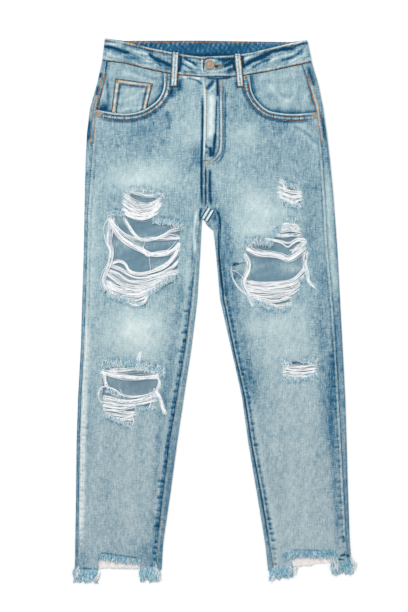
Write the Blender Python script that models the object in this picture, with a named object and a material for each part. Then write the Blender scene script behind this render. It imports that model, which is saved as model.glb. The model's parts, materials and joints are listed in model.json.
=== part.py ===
"""Ripped straight-leg denim jeans, laid flat with the front up.

The jeans lie on the XY plane with the waist towards +Y, the wearer's right leg on the -X side and the
front facing +Z. Sizes are in millimetres until a mesh is made. A "drop" is a distance down the garment
from the highest corner of the waistband.
"""

import math
from collections import namedtuple

import bmesh
import bpy
from mathutils import Vector

MM = 0.001

# ---------------------------------------------------------------- driving sizes
LENGTH = 981.0          # waistband corner to the lowest fringe
DENIM = 1.2             # one layer of denim
FACING = 1.0            # lighter cloth behind the front pocket openings
BAND = 2.4              # waistband, denim doubled
BAND_Z = 4.4            # underside of the front of the waistband
GAP = 0.3               # between neighbouring pieces
SEAM = 0.6              # between the waistband and the panels below it
CENTRE_X = -16.5        # centre front and centre back seams

THREADS = 0.8           # thickness of the bared white threads in the rips
LOOP_WIDTH = 13.4
LOOP_THICKNESS = 1.2

UNDERLAP_END = 12.0     # right end of the band, under the button
OVERLAP_END = -21.0     # left end of the band, on top
OVERLAP_RISE = (32.0, 15.0)     # x range in which the left end climbs over the right one

BUTTON_X = -8.0
BUTTON_DROP = 48.0
BUTTON_RADIUS = 8.3
BUTTON_HEIGHT = 2.6
BUTTON_ROUND = 0.8      # rounding of the rim
BUTTON_RIM = 2.4
BUTTON_DISH = 0.5       # how far the face is sunk inside the rim
BUTTON_BOSS = 1.6
SHANK_RADIUS = 2.2
EYE_RADIUS = 2.9        # round end of the buttonhole
HOLE_END_X = 14.7
HOLE_WIDTH = 1.6

RIVET_RADIUS = 3.6
RIVET_HEIGHT = 1.1
RIVET_EDGE = 0.4
RIVET_BEVEL = 1.0
RIVET_NIPPLE = 1.0
RIVET_DISH = 0.3

POCKET_DROP = 118.0     # top edge of the back pockets
POCKET_SIDE = 110.0     # straight side of a back pocket
POCKET_POINT = 28.0     # depth of its pointed foot
POCKET_HALF_TOP = 66.0
POCKET_HALF_FOOT = 60.0
POCKET_X = {"right": -117.0, "left": 94.0}
POCKET_TIP = 3.0        # half width left at the point

FLY_RISE = 1.2          # the front stands this much higher over the zip
FLY_MIDDLE = CENTRE_X + 12.0
FLY_HALF_WIDTH = 34.0
FLY_SLOPE = 14.0
FLY_END = 255.0         # drop at which the rise has run out
FLY_RUN_OUT = 30.0
ZIP_LEFT = 4.0          # the tape's edges on either side of the centre seam
ZIP_RIGHT = 24.0
ZIP_DROPS = (72.0, 205.0)

WAIST_AT = 50.0         # drop at which the widths just below the waistband are read
YOKE_AT = 41.0
PANEL_END = 920.0       # lowest level row of the panels
HEM_AT = 945.0
SEAM_FLAP = 0.6         # straight run that ends a rolled edge
OVERCUT = 30.0          # how far the pocket cutter reaches past the panel
CUTTER_Z = (-5.0, 20.0)  # foot and head of a cutter that goes through everything

FACING_DROP = 160.0     # lower edge of the pocket facings
FACING_DROPS = (80.0, 100.0, 125.0, 140.0, FACING_DROP)
FACING_INNER_X = {"right": -66.0, "left": 48.0}
COIN_EDGE_X = -95.0     # the pocket edge is read left of this for the coin pocket's foot
COIN_TUCK = 0.9

LOOP_FOOT = 22.0        # lower end of a front loop, sewn down below the band
LOOP_SLOPE = 8.0
BACK_LOOP_DROPS = (6.0, 66.0)
BACK_LOOP_X = {"right": -128.0, "centre": CENTRE_X, "left": 98.0}
SEAM_STEPS = 2          # points between the side seam and the outer fold
EDGE_STEPS = 3          # points on each stretch of a pocket's free edge
LOOP_STEPS = 5
BACK_LOOP_STEPS = 3
EYE_STEPS = 12
BUTTON_SIDES = 28
RIVET_SIDES = 16
COIN_ROWS = 3
COIN_COLUMNS = 5
ZIP_COLUMNS = 2
ZIP_ROWS = 6
WEB_COLUMNS = 3
TAB_COLUMNS = 4
NOTCH_STEPS = 6         # along the loose threads across a cut-out hem
BAND_STEPS = 14
OVERLAP_STEPS = 22
BAND_FOLD_STEPS = 4
EYE_MOUTH = 0.3         # half angle, in radians, at which the eye opens into the slot
FRONT_COLUMNS = 8
BACK_COLUMNS = 6
FOLD_STEPS = 3
FRINGE_LENGTH = 10.0    # loose threads across the cut-out hems
FRINGE_INSET = 0.06     # share of the torn edge left without threads at each end

# ---------------------------------------------------------------- tables
Layer = namedtuple("Layer", "drop back front")
LAYERS = (              # underside of the back and front layers above the ground
    Layer(0.0, 1.5, 5.0),
    Layer(66.0, 1.5, 5.0),
    Layer(110.0, 1.5, 4.5),
    Layer(165.0, 1.5, 4.35),
    Layer(235.0, 1.5, 3.25),
    Layer(275.0, 1.5, 3.25),
    Layer(310.0, 0.0, 1.75),
    Layer(LENGTH, 0.0, 1.75),
)

Leg = namedtuple("Leg", "drop side_edge side_seam inner_edge inseam roll")
LEGS = {                # roll: how far the back panel has turned round the inner edge, 0 to 1
    "right": (
        Leg(40.0, -201.2, -193.6, CENTRE_X, CENTRE_X, 0.0),
        Leg(80.0, -210.4, -198.8, CENTRE_X, CENTRE_X, 0.0),
        Leg(125.0, -223.2, -213.0, CENTRE_X, CENTRE_X, 0.0),
        Leg(170.0, -228.6, -216.2, CENTRE_X, CENTRE_X, 0.0),
        Leg(215.0, -230.9, -219.5, CENTRE_X, CENTRE_X, 0.0),
        Leg(312.0, -233.4, -226.8, CENTRE_X, CENTRE_X, 0.0),
        Leg(318.0, -233.5, -227.0, -18.0, -21.5, 0.33),
        Leg(326.0, -233.6, -227.2, -21.0, -24.5, 0.66),
        Leg(334.0, -233.8, -227.5, -22.6, -26.4, 1.0),
        Leg(385.0, -234.6, -228.5, -25.2, -32.0, 1.0),
        Leg(470.0, -237.4, -231.0, -30.5, -40.0, 1.0),
        Leg(557.0, -240.0, -234.0, -41.1, -51.0, 1.0),
        Leg(643.0, -244.8, -238.8, -54.3, -65.5, 1.0),
        Leg(730.0, -247.6, -241.8, -67.2, -80.0, 1.0),
        Leg(816.0, -248.4, -243.0, -78.6, -90.6, 1.0),
        Leg(902.0, -249.9, -244.2, -91.2, -100.7, 1.0),
        Leg(965.0, -251.4, -245.4, -96.4, -105.2, 1.0),
    ),
    "left": (
        Leg(40.0, 174.6, 157.8, CENTRE_X, CENTRE_X, 0.0),
        Leg(80.0, 186.4, 170.6, CENTRE_X, CENTRE_X, 0.0),
        Leg(125.0, 195.6, 183.4, CENTRE_X, CENTRE_X, 0.0),
        Leg(170.0, 201.9, 190.3, CENTRE_X, CENTRE_X, 0.0),
        Leg(215.0, 207.4, 194.6, CENTRE_X, CENTRE_X, 0.0),
        Leg(300.0, 215.6, 200.2, CENTRE_X, CENTRE_X, 0.0),
        Leg(306.0, 216.0, 200.4, CENTRE_X, -12.4, 0.33),
        Leg(312.0, 216.5, 200.7, CENTRE_X, -8.4, 0.66),
        Leg(318.0, 217.0, 201.0, CENTRE_X, -3.6, 1.0),
        Leg(326.0, 217.6, 201.3, -16.3, 4.0, 1.0),
        Leg(334.0, 218.2, 201.7, -15.2, 8.0, 1.0),
        Leg(340.0, 218.7, 202.0, -8.5, 8.4, 1.0),
        Leg(346.0, 219.1, 202.3, -1.5, 8.7, 1.0),
        Leg(385.0, 221.8, 204.8, 3.0, 9.6, 1.0),
        Leg(470.0, 226.2, 212.8, 10.5, 18.6, 1.0),
        Leg(557.0, 231.0, 219.0, 30.3, 36.4, 1.0),
        Leg(643.0, 235.5, 223.7, 49.6, 56.0, 1.0),
        Leg(730.0, 238.2, 228.4, 61.7, 69.0, 1.0),
        Leg(816.0, 240.6, 232.6, 76.4, 85.4, 1.0),
        Leg(902.0, 243.6, 236.8, 90.5, 99.8, 1.0),
        Leg(965.0, 248.6, 241.6, 99.8, 108.0, 1.0),
    ),
}
ROWS = (80, 100, 125, 150, 180, 215, 245, 275, 300, 306, 312, 318, 326, 334, 340, 346, 362, 385)
LOWER_STEP = 31.5       # spacing of the rows below the last of those

Spot = namedtuple("Spot", "x drop")
FRONT_LOOPS = {         # middle of the top and of the foot of each front belt loop
    "right": (Spot(-69.2, 25.9), Spot(-72.8, 88.4)),
    "left": (Spot(41.7, 28.4), Spot(47.4, 88.9)),
}
RIVETS = {"right": Spot(-206.0, 140.6), "left": Spot(180.4, 142.0)}
COIN_TOP = (Spot(-177.6, 72.0), Spot(-110.4, 81.6))
COIN_FOOT_X = (-185.0, -121.5)
WAIST_TOP = (           # upper edge of the front of the waistband
    Spot(-196.5, 0.0), Spot(-160.5, 6.8), Spot(-113.7, 18.0), Spot(-71.4, 26.3), Spot(-47.0, 30.8),
    Spot(-23.7, 33.6), Spot(-5.7, 33.0), Spot(26.7, 31.8), Spot(66.3, 26.3), Spot(137.6, 8.9),
    Spot(167.1, 3.2),
)
WAIST_SEAM = (          # its lower edge
    Spot(-201.2, 40.0), Spot(-160.5, 44.6), Spot(-113.7, 54.7), Spot(-74.0, 62.2), Spot(-23.7, 66.0),
    Spot(26.7, 66.4), Spot(48.3, 65.0), Spot(95.0, 57.6), Spot(155.6, 45.2), Spot(174.9, 41.0),
)
BACK_TOP = (            # upper edge of the back of the waistband
    Spot(-196.5, 0.0), Spot(-162.0, 4.6), Spot(-24.0, 4.2), Spot(138.0, 6.8), Spot(167.1, 3.2),
)
BACK_SEAM = (Spot(-201.2, 40.0), Spot(-110.0, 43.0), Spot(90.0, 44.0), Spot(174.9, 41.0))
YOKE_SEAM = {           # from the outer fold to the centre back
    "right": (Spot(-222.0, 77.0), Spot(CENTRE_X, 108.0)),
    "left": (Spot(CENTRE_X, 108.0), Spot(200.0, 77.0)),
}
HEM = {                 # where the woven cloth of each leg ends
    "right": (Spot(-260.0, 955.0), Spot(-90.0, 955.0)),
    "left": (Spot(98.0, 957.0), Spot(250.0, 942.0)),
}
POCKET_EDGE = {         # free edge of each front pocket, from the waistband to the side seam
    "right": (
        Spot(-91.2, 60.0), Spot(-88.2, 73.0), Spot(-85.8, 86.0), Spot(-90.3, 100.5), Spot(-100.4, 114.6),
        Spot(-113.7, 126.4), Spot(-127.0, 134.2), Spot(-146.0, 139.6), Spot(-165.0, 140.9),
        Spot(-187.5, 138.2), Spot(-218.0, 132.0),
    ),
    "left": (
        Spot(62.7, 55.0), Spot(63.6, 75.0), Spot(66.3, 94.0), Spot(72.0, 107.5), Spot(80.7, 118.8),
        Spot(91.0, 127.8), Spot(103.0, 133.9), Spot(131.1, 138.4), Spot(158.0, 138.8), Spot(191.0, 134.6),
    ),
}
RIPS = {                # outlines of the holes worn through the front panels
    "right_thigh": (
        Spot(-149.0, 278.0), Spot(-124.0, 282.0), Spot(-101.0, 290.0), Spot(-98.5, 306.0),
        Spot(-108.0, 326.0), Spot(-83.0, 335.5), Spot(-61.5, 342.0), Spot(-62.5, 372.0),
        Spot(-64.5, 400.0), Spot(-67.0, 436.0), Spot(-95.0, 450.0), Spot(-116.0, 464.0),
        Spot(-124.0, 484.0), Spot(-148.0, 478.0), Spot(-176.0, 469.0), Spot(-196.0, 458.0),
        Spot(-194.0, 432.0), Spot(-189.0, 404.0), Spot(-184.5, 390.0), Spot(-186.0, 352.0),
        Spot(-184.0, 322.0), Spot(-166.0, 318.0),
    ),
    "right_knee": (
        Spot(-200.0, 598.0), Spot(-184.0, 592.0), Spot(-135.0, 589.0), Spot(-101.0, 598.0),
        Spot(-101.0, 622.0), Spot(-110.0, 637.0), Spot(-112.0, 659.0), Spot(-143.0, 667.0),
        Spot(-144.0, 691.0), Spot(-162.0, 689.0), Spot(-198.0, 671.0), Spot(-201.0, 650.0),
        Spot(-200.0, 616.0),
    ),
    "left_hip": (
        Spot(122.0, 256.0), Spot(133.0, 264.0), Spot(152.0, 277.0), Spot(155.0, 301.0),
        Spot(148.0, 302.0), Spot(136.0, 291.0), Spot(120.0, 282.0),
    ),
    "left_thigh": (
        Spot(59.0, 374.0), Spot(98.0, 369.0), Spot(124.0, 345.0), Spot(149.0, 333.0),
        Spot(153.0, 349.0), Spot(162.0, 373.0), Spot(166.0, 392.0), Spot(163.0, 422.0),
        Spot(158.0, 436.0), Spot(139.0, 464.0), Spot(133.0, 485.0), Spot(114.0, 481.0),
        Spot(84.0, 469.0), Spot(65.0, 454.0), Spot(54.0, 438.0), Spot(46.0, 430.0),
        Spot(30.5, 409.0), Spot(57.0, 402.0),
    ),
    "left_knee": (
        Spot(129.0, 588.0), Spot(148.0, 583.0), Spot(178.0, 586.0), Spot(180.0, 606.0),
        Spot(156.0, 611.0), Spot(129.0, 609.0),
    ),
}
HEM_CUTS = {            # where the front of each hem is torn away
    "right": (
        Spot(-207.8, 926.6), Spot(-133.8, 936.0), Spot(-133.0, 990.0), Spot(-209.0, 990.0),
    ),
    "left": (
        Spot(133.8, 922.4), Spot(220.8, 924.2), Spot(211.0, 950.0), Spot(207.0, 990.0),
        Spot(143.5, 990.0), Spot(141.0, 950.0),
    ),
}

Across = namedtuple("Across", "x upper lower")      # a web of threads, station by station along x
WEBS = {
    "right_thigh_top": (
        Across(-164.0, 304.0, 314.0), Across(-155.0, 288.0, 322.0), Across(-143.0, 280.0, 327.0),
        Across(-128.0, 281.0, 328.0), Across(-115.0, 286.0, 327.0), Across(-103.0, 293.0, 314.0),
        Across(-95.5, 298.0, 306.0),
    ),
    "right_thigh_upper_swag": (
        Across(-186.0, 326.0, 333.0), Across(-166.0, 343.0, 352.0), Across(-146.0, 352.0, 363.0),
        Across(-128.0, 357.0, 367.0), Across(-106.0, 352.0, 366.0), Across(-86.0, 344.0, 361.0),
        Across(-70.0, 341.0, 361.0), Across(-58.0, 340.0, 360.0),
    ),
    "right_thigh_middle_swag": (
        Across(-163.0, 358.5, 363.0), Across(-146.0, 368.0, 378.0), Across(-128.0, 379.0, 388.0),
        Across(-108.0, 383.0, 391.0), Across(-90.0, 380.0, 389.0), Across(-74.0, 373.0, 384.0),
        Across(-60.0, 367.0, 378.0),
    ),
    "right_thigh_lower_swag": (
        Across(-182.0, 404.0, 464.0), Across(-174.0, 402.0, 468.0), Across(-162.0, 404.0, 472.0),
        Across(-146.0, 414.0, 479.0), Across(-124.0, 416.0, 482.0), Across(-108.0, 412.0, 460.0),
        Across(-90.0, 402.0, 448.0), Across(-74.0, 392.0, 441.0), Across(-62.0, 384.0, 430.0),
    ),
    "right_knee_strap": (
        Across(-203.0, 596.0, 605.0), Across(-182.0, 592.0, 609.0), Across(-158.0, 593.0, 612.0),
        Across(-134.0, 593.0, 613.0), Across(-110.0, 596.0, 614.0), Across(-99.0, 600.0, 614.0),
    ),
    "right_knee_bands": (
        Across(-204.0, 636.0, 672.0), Across(-186.0, 636.0, 680.0), Across(-166.0, 640.0, 687.0),
        Across(-147.0, 642.0, 692.0), Across(-140.0, 642.0, 667.0), Across(-122.0, 640.0, 663.0),
        Across(-108.0, 636.0, 656.0),
    ),
    "left_hip_patch": (
        Across(118.0, 260.0, 281.0), Across(128.0, 260.0, 287.0), Across(139.0, 267.0, 295.0),
        Across(149.0, 272.0, 303.0), Across(157.0, 278.0, 303.0),
    ),
    "left_thigh_tuft": (
        Across(122.0, 348.0, 362.0), Across(133.0, 338.0, 368.0), Across(145.0, 331.0, 370.0),
        Across(155.0, 336.0, 366.0),
    ),
    "left_thigh_strap": (
        Across(55.0, 374.0, 382.0), Across(75.0, 377.0, 389.0), Across(100.0, 380.0, 390.0),
        Across(120.0, 386.0, 396.0), Across(138.0, 386.0, 398.0), Across(152.0, 378.0, 393.0),
        Across(166.0, 370.0, 386.0),
    ),
    "left_thigh_band": (
        Across(68.0, 440.0, 459.0), Across(80.0, 438.0, 467.0), Across(98.0, 437.0, 475.0),
        Across(116.0, 437.0, 483.0), Across(132.0, 437.0, 486.0), Across(142.0, 433.0, 463.0),
        Across(158.0, 418.0, 438.0),
    ),
    "left_knee_patch": (
        Across(125.0, 590.0, 606.0), Across(145.0, 588.0, 610.0), Across(165.0, 587.0, 610.0),
        Across(183.0, 588.0, 605.0),
    ),
}
Down = namedtuple("Down", "drop left right")        # a hanging bundle, station by station down it
BUNDLES = {
    "right_thigh_bundle": (
        Down(338.0, -193.0, -187.5), Down(360.0, -190.5, -182.0), Down(390.0, -189.5, -181.0),
        Down(400.0, -192.0, -183.5), Down(420.0, -197.0, -189.0), Down(440.0, -203.0, -191.5),
    ),
    "right_knee_bundle": (
        Down(618.0, -106.0, -99.0), Down(634.0, -105.0, -97.0), Down(654.0, -103.0, -94.0),
        Down(676.0, -97.0, -89.0),
    ),
    "left_thigh_inner_bundle": (
        Down(397.0, 55.0, 61.0), Down(418.0, 57.0, 65.0), Down(440.0, 53.0, 64.0),
        Down(462.0, 58.0, 67.0), Down(482.0, 67.0, 75.0),
    ),
    "left_thigh_outer_bundle": (
        Down(390.0, 162.0, 168.0), Down(414.0, 164.0, 171.0), Down(438.0, 169.0, 178.0),
        Down(456.0, 178.0, 188.0),
    ),
}
TAB_FRINGES = {         # frayed ends of the tabs left on either side of each torn hem
    "right_outer_fringe": (
        Down(956.0, -251.2, -210.0), Down(968.0, -255.3, -209.4), Down(LENGTH, -251.0, -215.0),
    ),
    "right_inner_fringe": (
        Down(956.0, -132.6, -96.6), Down(968.0, -133.4, -95.2), Down(979.0, -131.0, -97.0),
    ),
    "left_inner_fringe": (
        Down(957.5, 100.0, 142.4), Down(968.0, 100.6, 143.0), Down(980.0, 101.6, 136.0),
    ),
    "left_outer_fringe": (
        Down(946.6, 212.0, 247.2), Down(957.0, 208.4, 255.3), Down(968.0, 210.0, 253.0),
    ),
}

Finish = namedtuple("Finish", "colour roughness metallic")
FINISHES = {
    "denim": Finish((0.33, 0.48, 0.58), 0.9, 0.0),
    "dark_denim": Finish((0.13, 0.29, 0.44), 0.9, 0.0),
    "threads": Finish((0.86, 0.88, 0.90), 0.95, 0.0),
    "copper": Finish((0.66, 0.52, 0.45), 0.42, 0.9),
    "zip": Finish((0.20, 0.28, 0.38), 0.8, 0.0),
}


# ---------------------------------------------------------------- helpers
def clamp01(value):
    return max(0.0, min(1.0, value))


def lerp(a, b, t):
    return a + (b - a) * t


def spread(a, b, count):
    """count + 1 evenly spaced values from a to b."""
    return [lerp(a, b, i / count) for i in range(count + 1)]


def read(rows, key, at, column):
    """Straight-line reading of a table's column where its key column has the value given."""
    if at <= getattr(rows[0], key):
        return getattr(rows[0], column)
    for low, high in zip(rows, rows[1:]):
        start = getattr(low, key)
        end = getattr(high, key)
        if at <= end:
            return lerp(getattr(low, column), getattr(high, column), (at - start) / (end - start))
    return getattr(rows[-1], column)


def smooth_line(points, steps):
    """Catmull-Rom curve through the points of an open line."""
    padded = [points[0]] + list(points) + [points[-1]]
    line = []
    for i in range(len(points) - 1):
        p0, p1, p2, p3 = (Vector(p) for p in padded[i:i + 4])
        for step in range(steps):
            t = step / steps
            line.append(0.5 * (2 * p1 + (p2 - p0) * t + (2 * p0 - 5 * p1 + 4 * p2 - p3) * t ** 2
                               + (3 * p1 - p0 - 3 * p2 + p3) * t ** 3))
    line.append(Vector(points[-1]))
    return [(p[0], p[1]) for p in line]


def leg_at(side, drop, column):
    return read(LEGS[side], "drop", drop, column)


def curve_drop(curve, x):
    return read(curve, "x", x, "drop")


def back_z(drop):
    return read(LAYERS, "drop", drop, "back")


def fly_rise(x, drop):
    """The front stands a little higher over the zip."""
    across = clamp01((FLY_HALF_WIDTH - abs(x - FLY_MIDDLE)) / FLY_SLOPE)
    along = clamp01((FLY_END - drop) / FLY_RUN_OUT)
    return FLY_RISE * across * along


def front_z(x, drop):
    """Underside of the front panels."""
    return read(LAYERS, "drop", drop, "front") + fly_rise(x, drop)


def point(x, drop, z):
    return Vector((x * MM, (LENGTH / 2 - drop) * MM, z * MM))


def material(name):
    if name in bpy.data.materials:
        return bpy.data.materials[name]
    finish = FINISHES[name]
    made = bpy.data.materials.new(name)
    made.use_nodes = True
    shader = made.node_tree.nodes["Principled BSDF"]
    shader.inputs["Base Color"].default_value = (*finish.colour, 1.0)
    shader.inputs["Roughness"].default_value = finish.roughness
    shader.inputs["Metallic"].default_value = finish.metallic
    return made


def finish_object(name, mesh_data, finish):
    mesh = bpy.data.meshes.new(name)
    bmesh.ops.recalc_face_normals(mesh_data, faces=mesh_data.faces)
    mesh_data.to_mesh(mesh)
    mesh_data.free()
    mesh.shade_smooth()
    mesh.set_sharp_from_angle(angle=math.radians(40))
    made = bpy.data.objects.new(name, mesh)
    made.data.materials.append(material(finish))
    bpy.context.scene.collection.objects.link(made)
    return made


def wall(name, outside, inside, finish="denim"):
    """One closed wall between two equal grids of points."""
    bm = bmesh.new()
    skins = [[[bm.verts.new(p) for p in row] for row in skin] for skin in (outside, inside)]
    rows = len(outside)
    columns = len(outside[0])
    for skin in skins:
        for r in range(rows - 1):
            for c in range(columns - 1):
                bm.faces.new((skin[r][c], skin[r][c + 1], skin[r + 1][c + 1], skin[r + 1][c]))
    rim = [(0, c) for c in range(columns)]
    rim += [(r, columns - 1) for r in range(1, rows)]
    rim += [(rows - 1, c) for c in range(columns - 2, -1, -1)]
    rim += [(r, 0) for r in range(rows - 2, 0, -1)]
    for (r, c), (r2, c2) in zip(rim, rim[1:] + rim[:1]):
        bm.faces.new((skins[0][r][c], skins[0][r2][c2], skins[1][r2][c2], skins[1][r][c]))
    return finish_object(name, bm, finish)


def sheet(name, grid, under, thickness, finish="denim"):
    """A wall lying flat: grid holds (x, drop) pairs, under gives the height of its underside."""
    low = [[point(x, drop, under(x, drop)) for x, drop in row] for row in grid]
    high = [[point(x, drop, under(x, drop) + thickness) for x, drop in row] for row in grid]
    return wall(name, high, low, finish)


def prism(name, outline, low=CUTTER_Z[0]):
    """A cutter: the outline carried straight up, left out of the finished part."""
    bm = bmesh.new()
    foot = [bm.verts.new(point(x, drop, low)) for x, drop in outline]
    head = [bm.verts.new(point(x, drop, CUTTER_Z[1])) for x, drop in outline]
    bm.faces.new(foot)
    bm.faces.new(head)
    for i in range(len(outline)):
        j = (i + 1) % len(outline)
        bm.faces.new((foot[i], foot[j], head[j], head[i]))
    cutter = finish_object(name, bm, "denim")
    cutter.hide_render = True
    cutter.display_type = "WIRE"
    return cutter


def cut(piece, cutter):
    modifier = piece.modifiers.new(cutter.name, "BOOLEAN")
    modifier.operation = "DIFFERENCE"
    modifier.solver = "EXACT"
    modifier.object = cutter


def disc(name, x, drop, profile, sides):
    """A turned piece: profile holds (radius, height) pairs from its foot to its crown."""
    bm = bmesh.new()
    rings = []
    for radius, z in profile:
        turn = [2 * math.pi * i / sides for i in range(sides)]
        rings.append([bm.verts.new(point(x + radius * math.cos(a), drop - radius * math.sin(a), z))
                      for a in turn])
    for low, high in zip(rings, rings[1:]):
        for i in range(sides):
            j = (i + 1) % sides
            bm.faces.new((low[i], low[j], high[j], high[i]))
    bm.faces.new(rings[0])
    bm.faces.new(rings[-1])
    return finish_object(name, bm, "copper")


# ---------------------------------------------------------------- panels
def lower_rows(end):
    count = round((end - ROWS[-1]) / LOWER_STEP)
    return spread(ROWS[-1], end, count)[1:]


def panel_rows(end):
    """Drops of the rows that the front and back panels share, down to just above the hem."""
    return [float(drop) for drop in ROWS] + lower_rows(end)


def outward(side):
    return -1.0 if side == "right" else 1.0


def front_leg(side):
    """The front panel from the waistband to the hem, with its pocket opening, rips and torn hem."""
    turn = outward(side)
    grid = []
    for drop in ["waist"] + panel_rows(PANEL_END) + ["hem"]:
        at = {"waist": WAIST_AT, "hem": HEM_AT}.get(drop, drop)
        seam = leg_at(side, at, "side_seam") - turn * GAP / 2
        inner = leg_at(side, at, "inseam") + turn * GAP / 2
        row = spread(seam, inner, FRONT_COLUMNS)
        if drop == "waist":
            grid.append([(x, curve_drop(WAIST_SEAM, x) + SEAM) for x in row])
        elif drop == "hem":
            grid.append([(x, curve_drop(HEM[side], x)) for x in row])
        else:
            grid.append([(x, drop) for x in row])
    leg = sheet(f"front_leg_{side}", grid, front_z, DENIM)
    edge = smooth_line(POCKET_EDGE[side], EDGE_STEPS)
    beyond = edge[-1][0] + turn * OVERCUT
    above = edge[0][1] - OVERCUT
    outline = edge + [(beyond, edge[-1][1]), (beyond, above), (edge[0][0], above)]
    cut(leg, prism(f"cut_pocket_{side}", outline))
    for name, rip in RIPS.items():
        if name.startswith(side):
            cut(leg, prism(f"cut_{name}", [tuple(spot) for spot in rip]))
    cut(leg, prism(f"cut_hem_{side}", [tuple(spot) for spot in HEM_CUTS[side]]))
    return leg


def wrapped_path(side, drop, with_inner):
    """Outer and inner skins of a back section, as (x, z, on_top) rows, from side seam to centre or inseam."""
    turn = outward(side)
    low = back_z(drop)
    high = read(LAYERS, "drop", drop, "front") + DENIM
    radius = (high - low) / 2
    middle = (high + low) / 2
    fold_x = leg_at(side, drop, "side_edge") - turn * radius
    seam_x = leg_at(side, drop, "side_seam") + turn * GAP / 2
    skins = ([], [])
    for skin, size in zip(skins, (radius, radius - DENIM)):
        for x in spread(seam_x, fold_x, SEAM_STEPS)[:-1]:
            skin.append((x, middle + size, True))
        for angle in spread(math.pi / 2, -math.pi / 2, FOLD_STEPS):
            skin.append((fold_x + turn * size * math.cos(angle), middle + size * math.sin(angle), angle > 0))
    roll = leg_at(side, drop, "roll") if with_inner else 0.0
    inner_x = leg_at(side, drop, "inner_edge") + turn * GAP / 2
    flat_run = math.pi * radius + SEAM_FLAP
    start_x = inner_x + turn * lerp(flat_run, radius, roll)
    for skin, size in zip(skins, (radius, radius - DENIM)):
        for x in spread(fold_x, start_x, BACK_COLUMNS)[1:]:
            skin.append((x, middle - size, False))
    if not with_inner:
        for skin, size in zip(skins, (radius, radius - DENIM)):
            skin.append((inner_x, middle - size, False))
        return skins
    flap_end = leg_at(side, drop, "inseam") - turn * GAP / 2
    flap = max(SEAM_FLAP, abs(flap_end - start_x)) if roll == 1.0 else SEAM_FLAP
    step = math.pi / FOLD_STEPS
    for skin, size in zip(skins, (radius, radius - DENIM)):
        if roll == 0.0:
            for k in range(1, FOLD_STEPS + 1):
                skin.append((start_x - turn * radius * step * k, middle - size, False))
            skin.append((inner_x, middle - size, False))
            continue
        for k in range(1, FOLD_STEPS + 1):
            angle = roll * step * k
            skin.append((start_x - turn * size * math.sin(angle), middle - size * math.cos(angle), False))
        angle = roll * math.pi
        skin.append((start_x - turn * (size * math.sin(angle) + flap * math.cos(angle)),
                     middle - size * math.cos(angle) + flap * math.sin(angle), roll == 1.0))
    return skins


def wrapped_wall(name, side, rows, with_inner):
    """A back panel that turns round the side of the leg; rows pairs a section's drop with its edge line."""
    grids = ([], [])
    for drop, line in rows:
        for grid, skin in zip(grids, wrapped_path(side, drop, with_inner)):
            grid.append([point(x, line(x, on_top), z) for x, z, on_top in skin])
    return wall(name, *grids)


def yoke_line(side, shift):
    """The seam between yoke and back panel, level where it comes round to the front."""
    edge = YOKE_SEAM[side][0 if side == "right" else -1]
    def line(x, on_top):
        return (edge.drop if on_top else curve_drop(YOKE_SEAM[side], x)) + shift
    return line


def waist_line(x, on_top):
    return curve_drop(WAIST_SEAM if on_top else BACK_SEAM, x) + SEAM


def back_yoke(side):
    edge = YOKE_SEAM[side][0 if side == "right" else -1]
    end = yoke_line(side, -GAP)
    def middle(x, on_top):
        return (waist_line(x, on_top) + end(x, on_top)) / 2
    rows = ((YOKE_AT, waist_line), ((YOKE_AT + edge.drop) / 2, middle), (edge.drop, end))
    return wrapped_wall(f"back_yoke_{side}", side, rows, False)


def back_leg(side):
    def level(drop):
        return lambda x, on_top: drop
    def hem(x, on_top):
        return curve_drop(HEM[side], x)
    seam_drops = sorted(spot.drop for spot in YOKE_SEAM[side])
    rows = [(seam_drops[0], yoke_line(side, 0.0))]
    rows += [(drop, level(drop)) for drop in panel_rows(PANEL_END) if drop > seam_drops[-1]]
    rows.append((HEM_AT, hem))
    return wrapped_wall(f"back_leg_{side}", side, rows, True)


# ---------------------------------------------------------------- waistband, loops and button
def overlap_rise(x):
    high, low = OVERLAP_RISE
    return (BAND + GAP) * clamp01((high - x) / (high - low))


def band_top(x):
    """Upper face of the front of the waistband."""
    return BAND_Z + BAND + (overlap_rise(x) if x > OVERLAP_END else 0.0)


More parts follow.
